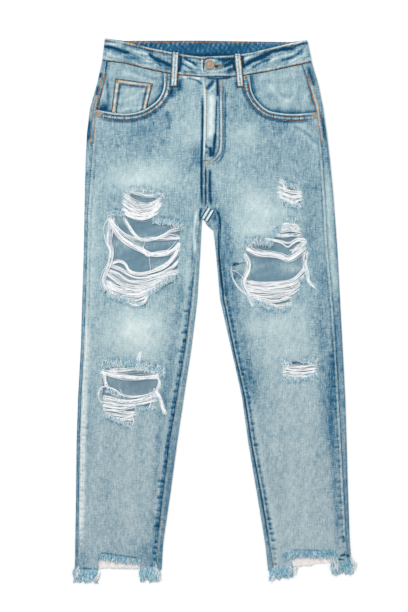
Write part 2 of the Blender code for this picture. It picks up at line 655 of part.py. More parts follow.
def waistband():
    """One doubled strip round the waist, its left end lapped over its right one."""
    low = LAYERS[0].back
    front = BAND_Z
    radius = (front + BAND - low) / 2
    middle = low + radius
    corner = {"right": (WAIST_TOP[0], WAIST_SEAM[0]), "left": (WAIST_TOP[-1], WAIST_SEAM[-1])}
    outer_rows = []
    inner_rows = []

    def add_station(xs, drops, z_out, z_in, shift=(0.0, 0.0)):
        outer_rows.append([point(x + shift[0], drop, z_out) for x, drop in zip(xs, drops)])
        inner_rows.append([point(x + shift[1], drop, z_in) for x, drop in zip(xs, drops)])

    def fold_centres(side):
        return [spot.x - outward(side) * radius for spot in corner[side]]

    def front_run(side, end_x, steps, rise):
        stations = []
        for s in spread(0.0, 1.0, steps):
            xs = [lerp(x, end_x, s) for x in fold_centres(side)]
            drops = (curve_drop(WAIST_TOP, xs[0]), curve_drop(WAIST_SEAM, xs[1]))
            lift = rise(xs[0])
            stations.append((xs, drops, front + BAND + lift, front + lift))
        return stations

    def fold(side, angles):
        xs = fold_centres(side)
        drops = [spot.drop for spot in corner[side]]
        turn = outward(side)
        for angle in angles:
            shift = [turn * size * math.cos(angle) for size in (radius, radius - BAND)]
            add_station(xs, drops, middle + radius * math.sin(angle),
                        middle + (radius - BAND) * math.sin(angle), shift)

    for station in reversed(front_run("right", UNDERLAP_END, BAND_STEPS, lambda x: 0.0)):
        add_station(*station)
    fold("right", spread(math.pi / 2, -math.pi / 2, BAND_FOLD_STEPS)[1:])
    ends = [fold_centres("right"), fold_centres("left")]
    for s in spread(0.0, 1.0, BAND_STEPS)[1:]:
        xs = [lerp(a, b, s) for a, b in zip(*ends)]
        add_station(xs, (curve_drop(BACK_TOP, xs[0]), curve_drop(BACK_SEAM, xs[1])), low, low + BAND)
    fold("left", spread(-math.pi / 2, math.pi / 2, BAND_FOLD_STEPS)[1:])
    for station in front_run("left", OVERLAP_END, OVERLAP_STEPS, overlap_rise)[1:]:
        add_station(*station)
    band = wall("waistband", outer_rows, inner_rows)
    eye = [(BUTTON_X + EYE_RADIUS * math.cos(a), BUTTON_DROP + EYE_RADIUS * math.sin(a))
           for a in spread(EYE_MOUTH, 2 * math.pi - EYE_MOUTH, EYE_STEPS)]
    slot = eye + [(HOLE_END_X, BUTTON_DROP - HOLE_WIDTH / 2), (HOLE_END_X, BUTTON_DROP + HOLE_WIDTH / 2)]
    cut(band, prism("cut_buttonhole", slot, low=front + BAND + GAP / 2))
    return band


def belt_loop_front(side):
    """A narrow strip from the band's upper edge to just below it."""
    top, foot = FRONT_LOOPS[side]
    grid = []
    heights = {}
    for drop in spread(top.drop, foot.drop, LOOP_STEPS):
        x = lerp(top.x, foot.x, (drop - top.drop) / (foot.drop - top.drop))
        grid.append([(x - LOOP_WIDTH / 2, drop), (x + LOOP_WIDTH / 2, drop)])
        below = clamp01((drop - foot.drop + LOOP_FOOT) / LOOP_SLOPE)
        heights[drop] = lerp(band_top(x - LOOP_WIDTH / 2), front_z(x, foot.drop) + DENIM, below) + GAP
    return sheet(f"belt_loop_front_{side}", grid, lambda x, drop: heights[drop], LOOP_THICKNESS)


def belt_loop_back(place):
    x = BACK_LOOP_X[place]
    drops = spread(*BACK_LOOP_DROPS, BACK_LOOP_STEPS)
    grid = [[(x - LOOP_WIDTH / 2, drop), (x + LOOP_WIDTH / 2, drop)] for drop in drops]
    return sheet(f"belt_loop_back_{place}", grid, lambda x, drop: 0.0, LOOP_THICKNESS)


def button():
    foot = BAND_Z + BAND + GAP
    seat = band_top(BUTTON_X) + GAP
    crown = seat + BUTTON_HEIGHT
    profile = ((SHANK_RADIUS, foot), (SHANK_RADIUS, seat), (BUTTON_RADIUS - BUTTON_ROUND, seat),
               (BUTTON_RADIUS, seat + BUTTON_ROUND), (BUTTON_RADIUS, crown - BUTTON_ROUND),
               (BUTTON_RADIUS - BUTTON_ROUND, crown), (BUTTON_RADIUS - BUTTON_RIM, crown - BUTTON_DISH),
               (BUTTON_BOSS, crown - BUTTON_DISH))
    return disc("button", BUTTON_X, BUTTON_DROP, profile, BUTTON_SIDES)


def rivet(side):
    x, drop = RIVETS[side]
    foot = front_z(x, drop) + DENIM + GAP
    crown = foot + RIVET_HEIGHT
    profile = ((RIVET_RADIUS, foot), (RIVET_RADIUS, foot + RIVET_EDGE), (RIVET_RADIUS - RIVET_BEVEL, crown),
               (RIVET_NIPPLE, crown - RIVET_DISH))
    return disc(f"rivet_{side}", x, drop, profile, RIVET_SIDES)


# ---------------------------------------------------------------- pockets and fly
def pocket_facing(side):
    """Cloth on the hip that shows in the pocket opening and runs on under the front panel."""
    turn = outward(side)
    grid = []
    for drop in ("waist",) + FACING_DROPS:
        at = WAIST_AT if drop == "waist" else drop
        row = spread(leg_at(side, at, "side_seam") - turn * GAP, FACING_INNER_X[side], FRONT_COLUMNS)
        grid.append([(x, curve_drop(WAIST_SEAM, x) + SEAM if drop == "waist" else drop) for x in row])
    return sheet(f"pocket_facing_{side}", grid, lambda x, drop: front_z(x, drop) - GAP - FACING, FACING)


def coin_pocket():
    """The small watch pocket, its foot tucked in behind the edge of the right pocket."""
    edge = [Spot(*p) for p in reversed(smooth_line(POCKET_EDGE["right"], EDGE_STEPS))]
    grid = []
    for t in spread(0.0, 1.0, COIN_ROWS):
        row = []
        for u in spread(0.0, 1.0, COIN_COLUMNS):
            x_foot = lerp(*COIN_FOOT_X, u)
            foot = curve_drop([spot for spot in edge if spot.x < COIN_EDGE_X], x_foot) - COIN_TUCK
            x_top = lerp(COIN_TOP[0].x, COIN_TOP[1].x, u)
            top = lerp(COIN_TOP[0].drop, COIN_TOP[1].drop, u)
            row.append((lerp(x_top, x_foot, t), lerp(top, foot, t)))
        grid.append(row)
    return sheet("coin_pocket", grid, front_z, FACING)


def back_pocket(side):
    x = POCKET_X[side]
    shape = ((POCKET_DROP, POCKET_HALF_TOP), (POCKET_DROP + POCKET_SIDE, POCKET_HALF_FOOT),
             (POCKET_DROP + POCKET_SIDE + POCKET_POINT, POCKET_TIP))
    grid = [[(x + half * u, drop) for u in (-1.0, -0.5, 0.0, 0.5, 1.0)] for drop, half in shape]
    return sheet(f"back_pocket_{side}", grid, lambda x, drop: 0.0, DENIM)


def fly_zip():
    """The zip's tape and teeth as one plain strip, closed, behind the fly."""
    grid = [[(x, drop) for x in spread(CENTRE_X - ZIP_LEFT, CENTRE_X + ZIP_RIGHT, ZIP_COLUMNS)]
            for drop in spread(*ZIP_DROPS, ZIP_ROWS)]
    return sheet("fly_zip", grid, lambda x, drop: front_z(x, drop) - GAP - FACING, FACING, "zip")


# ---------------------------------------------------------------- rip threads and fringes
def over_front(x, drop):
    return front_z(x, drop) + DENIM + GAP


def thread_web(name, stations):
    """Bared threads slung across a rip, lying on the edges of the cloth at each end."""
    grid = [[(s.x, drop) for drop in spread(s.upper, s.lower, WEB_COLUMNS)] for s in stations]
    return sheet(f"threads_{name}", grid, over_front, THREADS, "threads")


def thread_bundle(name, stations):
    grid = [[(s.left, s.drop), (s.right, s.drop)] for s in stations]
    return sheet(f"threads_{name}", grid, over_front, THREADS, "threads")


def tab_fringe(name, stations):
    """Frayed end of a hem tab, both layers thick."""
    side = name.split("_")[0]
    grid = []
    for i, station in enumerate(stations):
        xs = spread(station.left, station.right, TAB_COLUMNS)
        grid.append([(x, curve_drop(HEM[side], x) + 2 * GAP if i == 0 else station.drop) for x in xs])
    thickness = LAYERS[-1].front + DENIM
    return sheet(f"hem_{name}", grid, lambda x, drop: 0.0, thickness)


def middle_fringe(side):
    """Loose warp threads along the torn front edge of a hem."""
    start, end = HEM_CUTS[side][:2]
    grid = []
    for u in spread(FRINGE_INSET, 1.0 - FRINGE_INSET, NOTCH_STEPS):
        drop = lerp(start.drop, end.drop, u) + GAP
        grid.append([(lerp(start.x, end.x, u), drop), (lerp(start.x, end.x, u), drop + FRINGE_LENGTH)])
    return sheet(f"hem_{side}_middle_fringe", grid, front_z, FACING)


def build():
    for side in ("right", "left"):
        front_leg(side)
        back_leg(side)
        back_yoke(side)
        back_pocket(side)
        middle_fringe(side)
    waistband()
    pocket_facing("right")
    pocket_facing("left")
    coin_pocket()
    fly_zip()
    for side in FRONT_LOOPS:
        belt_loop_front(side)
    for place in BACK_LOOP_X:
        belt_loop_back(place)
    button()
    for side in RIVETS:
        rivet(side)
    for name, stations in WEBS.items():
        thread_web(name, stations)
    for name, stations in BUNDLES.items():
        thread_bundle(name, stations)
    for name, stations in TAB_FRINGES.items():
        tab_fringe(name, stations)


for old in list(bpy.data.objects):
    bpy.data.objects.remove(old, do_unlink=True)
build()
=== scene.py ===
"""Ripped straight-leg jeans laid flat: the washed cloth, bared threads, frayed edges, stitching and metal.

Tables are in millimetres. A "drop" is a distance down the garment from the highest corner of the
waistband, x runs from the wearer's right (negative) to the left, and heights are above the ground.
"""

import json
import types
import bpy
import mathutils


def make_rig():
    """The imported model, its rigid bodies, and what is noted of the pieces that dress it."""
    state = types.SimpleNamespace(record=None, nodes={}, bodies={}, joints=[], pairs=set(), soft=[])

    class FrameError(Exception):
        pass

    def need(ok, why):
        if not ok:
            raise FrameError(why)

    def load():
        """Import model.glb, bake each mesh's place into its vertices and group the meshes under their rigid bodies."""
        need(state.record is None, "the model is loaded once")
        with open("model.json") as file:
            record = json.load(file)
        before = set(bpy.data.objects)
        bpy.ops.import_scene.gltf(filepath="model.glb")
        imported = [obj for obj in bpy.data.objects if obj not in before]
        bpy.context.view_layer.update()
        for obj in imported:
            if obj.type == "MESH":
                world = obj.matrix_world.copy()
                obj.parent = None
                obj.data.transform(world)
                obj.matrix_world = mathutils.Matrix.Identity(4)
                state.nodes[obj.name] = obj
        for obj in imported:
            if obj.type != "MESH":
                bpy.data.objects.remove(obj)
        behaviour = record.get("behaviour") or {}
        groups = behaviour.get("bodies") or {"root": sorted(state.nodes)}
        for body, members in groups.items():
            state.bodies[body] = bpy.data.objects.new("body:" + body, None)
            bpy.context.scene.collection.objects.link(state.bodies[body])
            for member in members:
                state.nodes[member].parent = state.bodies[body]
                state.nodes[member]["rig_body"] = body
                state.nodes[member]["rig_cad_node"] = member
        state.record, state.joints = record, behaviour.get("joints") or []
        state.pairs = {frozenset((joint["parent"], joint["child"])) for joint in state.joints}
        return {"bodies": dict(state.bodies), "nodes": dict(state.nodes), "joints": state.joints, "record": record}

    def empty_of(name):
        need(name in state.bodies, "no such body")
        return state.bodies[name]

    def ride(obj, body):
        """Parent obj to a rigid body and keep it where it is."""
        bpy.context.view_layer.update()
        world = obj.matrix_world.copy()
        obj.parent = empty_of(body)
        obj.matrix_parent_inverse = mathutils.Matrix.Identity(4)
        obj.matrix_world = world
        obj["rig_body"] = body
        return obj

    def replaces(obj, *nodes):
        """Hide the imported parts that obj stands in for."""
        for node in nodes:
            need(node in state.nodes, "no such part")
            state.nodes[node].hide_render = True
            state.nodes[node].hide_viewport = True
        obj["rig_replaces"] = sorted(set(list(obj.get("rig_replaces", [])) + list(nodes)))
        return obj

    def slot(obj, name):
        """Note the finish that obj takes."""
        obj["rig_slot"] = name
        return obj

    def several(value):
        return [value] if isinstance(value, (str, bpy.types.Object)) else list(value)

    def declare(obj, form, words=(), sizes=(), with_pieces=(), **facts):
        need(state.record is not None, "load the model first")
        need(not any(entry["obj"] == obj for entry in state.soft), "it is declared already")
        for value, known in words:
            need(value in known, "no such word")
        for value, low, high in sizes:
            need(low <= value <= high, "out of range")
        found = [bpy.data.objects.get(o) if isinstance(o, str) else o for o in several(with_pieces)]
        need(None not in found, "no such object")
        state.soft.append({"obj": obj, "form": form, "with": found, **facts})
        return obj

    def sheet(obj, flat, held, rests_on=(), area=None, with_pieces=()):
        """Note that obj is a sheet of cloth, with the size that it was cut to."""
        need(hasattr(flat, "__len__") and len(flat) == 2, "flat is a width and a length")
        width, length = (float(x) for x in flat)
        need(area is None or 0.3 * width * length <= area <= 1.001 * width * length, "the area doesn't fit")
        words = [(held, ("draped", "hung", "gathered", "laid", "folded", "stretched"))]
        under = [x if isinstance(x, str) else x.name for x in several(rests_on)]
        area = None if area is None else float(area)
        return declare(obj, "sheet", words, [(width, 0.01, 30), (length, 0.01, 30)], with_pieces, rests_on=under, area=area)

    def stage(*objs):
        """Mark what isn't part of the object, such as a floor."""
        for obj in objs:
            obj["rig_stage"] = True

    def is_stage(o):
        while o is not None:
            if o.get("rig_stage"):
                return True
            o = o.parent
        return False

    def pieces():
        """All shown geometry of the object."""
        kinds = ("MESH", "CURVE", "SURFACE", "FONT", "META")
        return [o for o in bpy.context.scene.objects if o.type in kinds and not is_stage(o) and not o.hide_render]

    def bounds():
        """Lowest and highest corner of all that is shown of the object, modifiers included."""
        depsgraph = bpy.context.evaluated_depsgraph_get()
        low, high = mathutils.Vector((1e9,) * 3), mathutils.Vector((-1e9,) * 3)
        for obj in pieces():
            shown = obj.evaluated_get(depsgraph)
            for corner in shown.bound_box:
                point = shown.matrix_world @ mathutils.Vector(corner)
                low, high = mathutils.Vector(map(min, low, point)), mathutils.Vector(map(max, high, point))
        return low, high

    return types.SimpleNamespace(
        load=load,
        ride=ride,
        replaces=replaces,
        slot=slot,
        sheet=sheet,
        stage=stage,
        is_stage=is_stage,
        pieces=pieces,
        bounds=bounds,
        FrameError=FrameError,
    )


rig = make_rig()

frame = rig.load()
CAD_BOX = [list(corner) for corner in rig.bounds()]

import json
import math
import random
from collections import namedtuple

import bpy
import numpy as np
from mathutils import Vector, geometry, kdtree

bl_info = {
    "name": "Ripped Jeans",
    "version": (1, 0, 0),
    "blender": (4, 5, 0),
    "location": "3D View > Sidebar > Jeans",
    "description": "Builds a pair of worn, ripped jeans laid flat around its packed solids",
    "category": "Add Mesh",
}

MM = 0.001

# ---------------------------------------------------------------- sizes shared with the solids
LENGTH = (CAD_BOX[1][1] - CAD_BOX[0][1]) / MM
DENIM = 1.2
FACING = 1.0
BAND = 2.4
BAND_Z = 4.4
GAP = 0.3
SEAM = 0.6
CENTRE_X = -16.5
LOOP_WIDTH = 13.4
UNDERLAP_END = 12.0
OVERLAP_END = -21.0
OVERLAP_RISE = (32.0, 15.0)
BUTTON = (-8.0, 48.0)
BUTTON_RADIUS = 8.3
BUTTON_HEIGHT = 2.6
POCKET_X = {"right": -117.0, "left": 94.0}
POCKET_SHAPE = ((118.0, 66.0), (228.0, 60.0), (256.0, 3.0))     # drop and half width
FLY_MIDDLE = CENTRE_X + 12.0
HEM_AT = 945.0
TORN_FROM = 915.0       # the hems are torn below this drop
YOKE_TOP = 41.0         # drops of the yoke at the side seam
YOKE_SIDE = 77.0
COIN_SIZE = (66.0, 60.0)
ZIP_X = CENTRE_X - 4.0
ZIP_WIDTH = 28.0
ZIP_DROPS = (72.0, 205.0)
ZIP_TEETH = (76.0, 202.0)
SIDES = ("right", "left")

Layer = namedtuple("Layer", "drop back front")
LAYERS = [Layer(*row) for row in (      # heights of the undersides of the back and the front
    (0, 1.5, 5), (66, 1.5, 5), (110, 1.5, 4.5), (165, 1.5, 4.35), (235, 1.5, 3.25), (275, 1.5, 3.25),
    (310, 0, 1.75), (981, 0, 1.75),
)]

# x of a leg's edges and seams at a drop, and how far the back's inner edge is rolled over, 0 to 1
Leg = namedtuple("Leg", "drop side_edge side_seam inner_edge inseam roll")
LEGS = {side: [Leg(*row) for row in rows] for side, rows in {
    "right": (
        (40, -201.2, -193.6, CENTRE_X, CENTRE_X, 0),
        (80, -210.4, -198.8, CENTRE_X, CENTRE_X, 0),
        (125, -223.2, -213, CENTRE_X, CENTRE_X, 0),
        (170, -228.6, -216.2, CENTRE_X, CENTRE_X, 0),
        (215, -230.9, -219.5, CENTRE_X, CENTRE_X, 0),
        (312, -233.4, -226.8, CENTRE_X, CENTRE_X, 0),
        (318, -233.5, -227, -18, -21.5, 0.33),
        (326, -233.6, -227.2, -21, -24.5, 0.66),
        (334, -233.8, -227.5, -22.6, -26.4, 1),
        (385, -234.6, -228.5, -25.2, -32, 1),
        (470, -237.4, -231, -30.5, -40, 1),
        (557, -240, -234, -41.1, -51, 1),
        (643, -244.8, -238.8, -54.3, -65.5, 1),
        (730, -247.6, -241.8, -67.2, -80, 1),
        (816, -248.4, -243, -78.6, -90.6, 1),
        (902, -249.9, -244.2, -91.2, -100.7, 1),
        (965, -251.4, -245.4, -96.4, -105.2, 1),
    ),
    "left": (
        (40, 174.6, 157.8, CENTRE_X, CENTRE_X, 0),
        (80, 186.4, 170.6, CENTRE_X, CENTRE_X, 0),
        (125, 195.6, 183.4, CENTRE_X, CENTRE_X, 0),
        (170, 201.9, 190.3, CENTRE_X, CENTRE_X, 0),
        (215, 207.4, 194.6, CENTRE_X, CENTRE_X, 0),
        (300, 215.6, 200.2, CENTRE_X, CENTRE_X, 0),
        (306, 216, 200.4, CENTRE_X, -12.4, 0.33),
        (312, 216.5, 200.7, CENTRE_X, -8.4, 0.66),
        (318, 217, 201, CENTRE_X, -3.6, 1),
        (326, 217.6, 201.3, -16.3, 4, 1),
        (334, 218.2, 201.7, -15.2, 8, 1),
        (340, 218.7, 202, -8.5, 8.4, 1),
        (346, 219.1, 202.3, -1.5, 8.7, 1),
        (385, 221.8, 204.8, 3, 9.6, 1),
        (470, 226.2, 212.8, 10.5, 18.6, 1),
        (557, 231, 219, 30.3, 36.4, 1),
        (643, 235.5, 223.7, 49.6, 56, 1),
        (730, 238.2, 228.4, 61.7, 69, 1),
        (816, 240.6, 232.6, 76.4, 85.4, 1),
        (902, 243.6, 236.8, 90.5, 99.8, 1),
        (965, 248.6, 241.6, 99.8, 108, 1),
    ),
}.items()}

# outlines below are (x, drop) pairs
WAIST_TOP = ((-196.5, 0), (-160.5, 6.8), (-113.7, 18), (-71.4, 26.3), (-47, 30.8), (-23.7, 33.6),
             (-5.7, 33), (26.7, 31.8), (66.3, 26.3), (137.6, 8.9), (167.1, 3.2))
WAIST_SEAM = ((-201.2, 40), (-160.5, 45), (-113.7, 56.6), (-74, 65), (-23.7, 69.6), (26.7, 69.4),
              (48.3, 68), (95, 60), (155.6, 46.8), (174.9, 42.6))
BACK_TOP = ((-196.5, 0), (-162, 4.6), (-24, 4.2), (138, 6.8), (167.1, 3.2))
BACK_SEAM = ((-201.2, 40), (-110, 43), (90, 44), (174.9, 41))
YOKE_SEAM = {
    "right": ((-222, YOKE_SIDE), (CENTRE_X, 108)),
    "left": ((CENTRE_X, 108), (200, YOKE_SIDE)),
}
POCKET_EDGE = {         # free edge of each front pocket, from the waistband to the side seam
    "right": ((-91, 60), (-90.2, 76.9), (-91.2, 90.3), (-95.4, 101.7), (-102.6, 112), (-114, 121.3),
              (-126.4, 128.5), (-140.8, 133.2), (-157.4, 135.3), (-173.9, 134.7), (-189.4, 132.7),
              (-218, 127)),
    "left": ((63.2, 55), (64.5, 75), (67, 93), (73.8, 108), (84.6, 120.4), (93, 127),
             (104, 131.9), (128, 135.5), (153, 135.8), (191, 132.2)),
}
HEM = {"right": ((-260, 955), (-90, 955)), "left": ((98, 957), (250, 942))}
TORN_HEM = {            # the torn notch in the front of each hem, from the inseam's side outwards
    "right": ((-133.2, 955), (-133.8, 936), (-170, 931.5), (-207.8, 926.6), (-208.4, 955)),
    "left": ((141.2, 952.8), (137, 938), (133.8, 922.4), (178, 923.4), (220.8, 924.2), (211, 945.9)),
}
RIPS = {                # holes worn through the front panels
    "right_thigh": (
        (-149, 278), (-124, 282), (-101, 290), (-98.5, 306), (-108, 326), (-83, 335.5), (-61.5, 342),
        (-62.5, 372), (-64.5, 400), (-67, 436), (-95, 450), (-116, 464), (-124, 484), (-148, 478),
        (-176, 469), (-196, 458), (-194, 432), (-189, 404), (-184.5, 390), (-186, 352), (-184, 322),
        (-166, 318),
    ),
    "right_knee": (
        (-200, 598), (-184, 592), (-135, 589), (-101, 598), (-101, 622), (-110, 637), (-112, 659),
        (-143, 667), (-144, 691), (-162, 689), (-198, 671), (-201, 650), (-200, 616),
    ),
    "left_hip": (
        (122, 256), (133, 264), (152, 277), (155, 301), (148, 302), (136, 291), (120, 282),
    ),
    "left_thigh": (
        (59, 374), (98, 369), (124, 345), (149, 333), (153, 349), (162, 373), (166, 392), (163, 422),
        (158, 436), (139, 464), (133, 485), (114, 481), (84, 469), (65, 454), (54, 438), (46, 430),
        (30.5, 409), (57, 402),
    ),
    "left_knee": (
        (129, 588), (148, 583), (178, 586), (180, 606), (156, 611), (129, 609),
    ),
}
FRONT_LOOPS = {"right": ((-69.2, 25.9), (-72.8, 88.4)), "left": ((41.7, 28.4), (47.4, 88.9))}
BACK_LOOP_X = {"right": -128.0, "centre": CENTRE_X, "left": 98.0}
RIVETS = {"right": (-206.5, 137.0), "left": (181.0, 139.0)}
COIN_TOP = ((-177.6, 72), (-110.4, 81.6))
COIN_FOOT_X = (-185, -121.5)
FACING_INNER_X = {"right": -66.0, "left": 48.0}
FACING_DROP = 160.0

# ---------------------------------------------------------------- wash, creases and worn places
Patch = namedtuple("Patch", "x drop across along tone")
# Among the darker patches, the one below the right front loop's foot (-68, 88) and the one beside the fly (-31, 206)
# are painted shade.
PATCHES = [Patch(*row) for row in (        # soft paler (+) and darker (-) areas of the front
    (-60, 155, 30, 45, 0.1), (-130, 185, 62, 30, -0.1), (-95, 245, 75, 30, 0.13), (-150, 245, 50, 20, 0.08),
    (-31, 206, 13, 19, -0.24), (-68, 88, 13, 13, -0.22), (-34, 76, 16, 7, 0.18), (-98, 142, 22, 10, -0.12),
    (-130, 540, 62, 42, 0.22), (-110, 505, 40, 30, 0.06), (-205, 400, 14, 90, 0.02), (-45, 420, 14, 80, 0.04),
    (-150, 800, 100, 110, -0.01), (-165, 925, 80, 40, -0.05), (-85, 720, 12, 150, -0.1),
    (55, 175, 26, 24, 0.15), (20, 130, 12, 60, -0.06), (150, 210, 45, 50, -0.04), (60, 300, 55, 55, 0.15),
    (40, 345, 30, 25, 0.06), (176, 300, 14, 60, -0.06), (190, 440, 16, 50, -0.04), (110, 540, 60, 45, 0.2),
    (150, 640, 40, 40, 0.05), (214, 640, 9, 90, -0.16), (222, 820, 7, 90, -0.08), (80, 640, 12, 80, -0.08),
    (140, 800, 90, 150, 0.03), (36, 262, 20, 50, 0.04), (100, 195, 40, 30, -0.04), (120, 300, 60, 30, 0.04),
    (80, 240, 36, 30, -0.05), (105, 150, 40, 12, -0.07), (-60, 300, 16, 40, -0.06),
    (-120, 158, 24, 13, -0.14), (-45, 234, 18, 20, -0.14), (-66, 120, 12, 40, -0.07),
    (-35, 172, 14, 22, 0.09), (38, 110, 14, 50, -0.09), (112, 160, 26, 12, -0.12), (64, 138, 12, 16, -0.12),
    (32, 285, 22, 40, -0.11), (193, 158, 8, 24, -0.12), (-145, 258, 42, 16, 0.12), (-150, 505, 32, 22, 0.14),
    (95, 325, 28, 24, 0.12), (138, 490, 26, 16, 0.1), (172, 355, 14, 60, -0.1), (-85, 96, 5, 14, 0.26),
    (22, 118, 9, 13, 0.14), (-24, 183, 8, 20, 0.08), (2, 290, 9, 16, -0.17), (-22, 312, 9, 9, -0.16),
    (20, 312, 9, 9, -0.14), (43, 420, 9, 9, -0.17), (194, 455, 10, 62, -0.12), (216, 550, 9, 52, -0.12),
    (65, 592, 10, 66, -0.09), (-108, 528, 10, 10, -0.12), (-238, 930, 11, 40, -0.1),
    (-130, 917, 10, 10, -0.12), (237, 958, 12, 20, -0.14), (129, 939, 9, 10, 0.09), (-130, 96, 9, 10, 0.08),
    (173, 269, 22, 12, -0.09), (-130, 290, 12, 8, 0.08), (95, 545, 40, 30, -0.08), (43, 425, 10, 16, -0.12),
    (21, 175, 8, 30, 0.08), (4, 204, 8, 12, -0.1), (-80, 550, 22, 40, -0.06), (100, 790, 28, 60, -0.06),
    (193, 785, 12, 60, -0.06), (-125, 935, 16, 20, -0.08), (232, 700, 6, 60, 0.05), (75, 346, 22, 9, 0.16),
    (-100, 150, 26, 8, 0.05),
)]
BASE_WASH = {"front": 0.61, "band": 0.55, "facing": 0.61, "coin": 0.62, "back": 0.60, "loop": 0.80}

Crease = namedtuple("Crease", "points width rise tone")


def creases(*rows):
    """Soft troughs (-) and ridges (+): rows of width, rise, darkening (-) or whitening (+), then places. The troughs'
    darkening is partly indigo kept in the folds and partly painted shade.
    """
    return [Crease(points, width, rise, tone) for width, rise, tone, *points in rows]


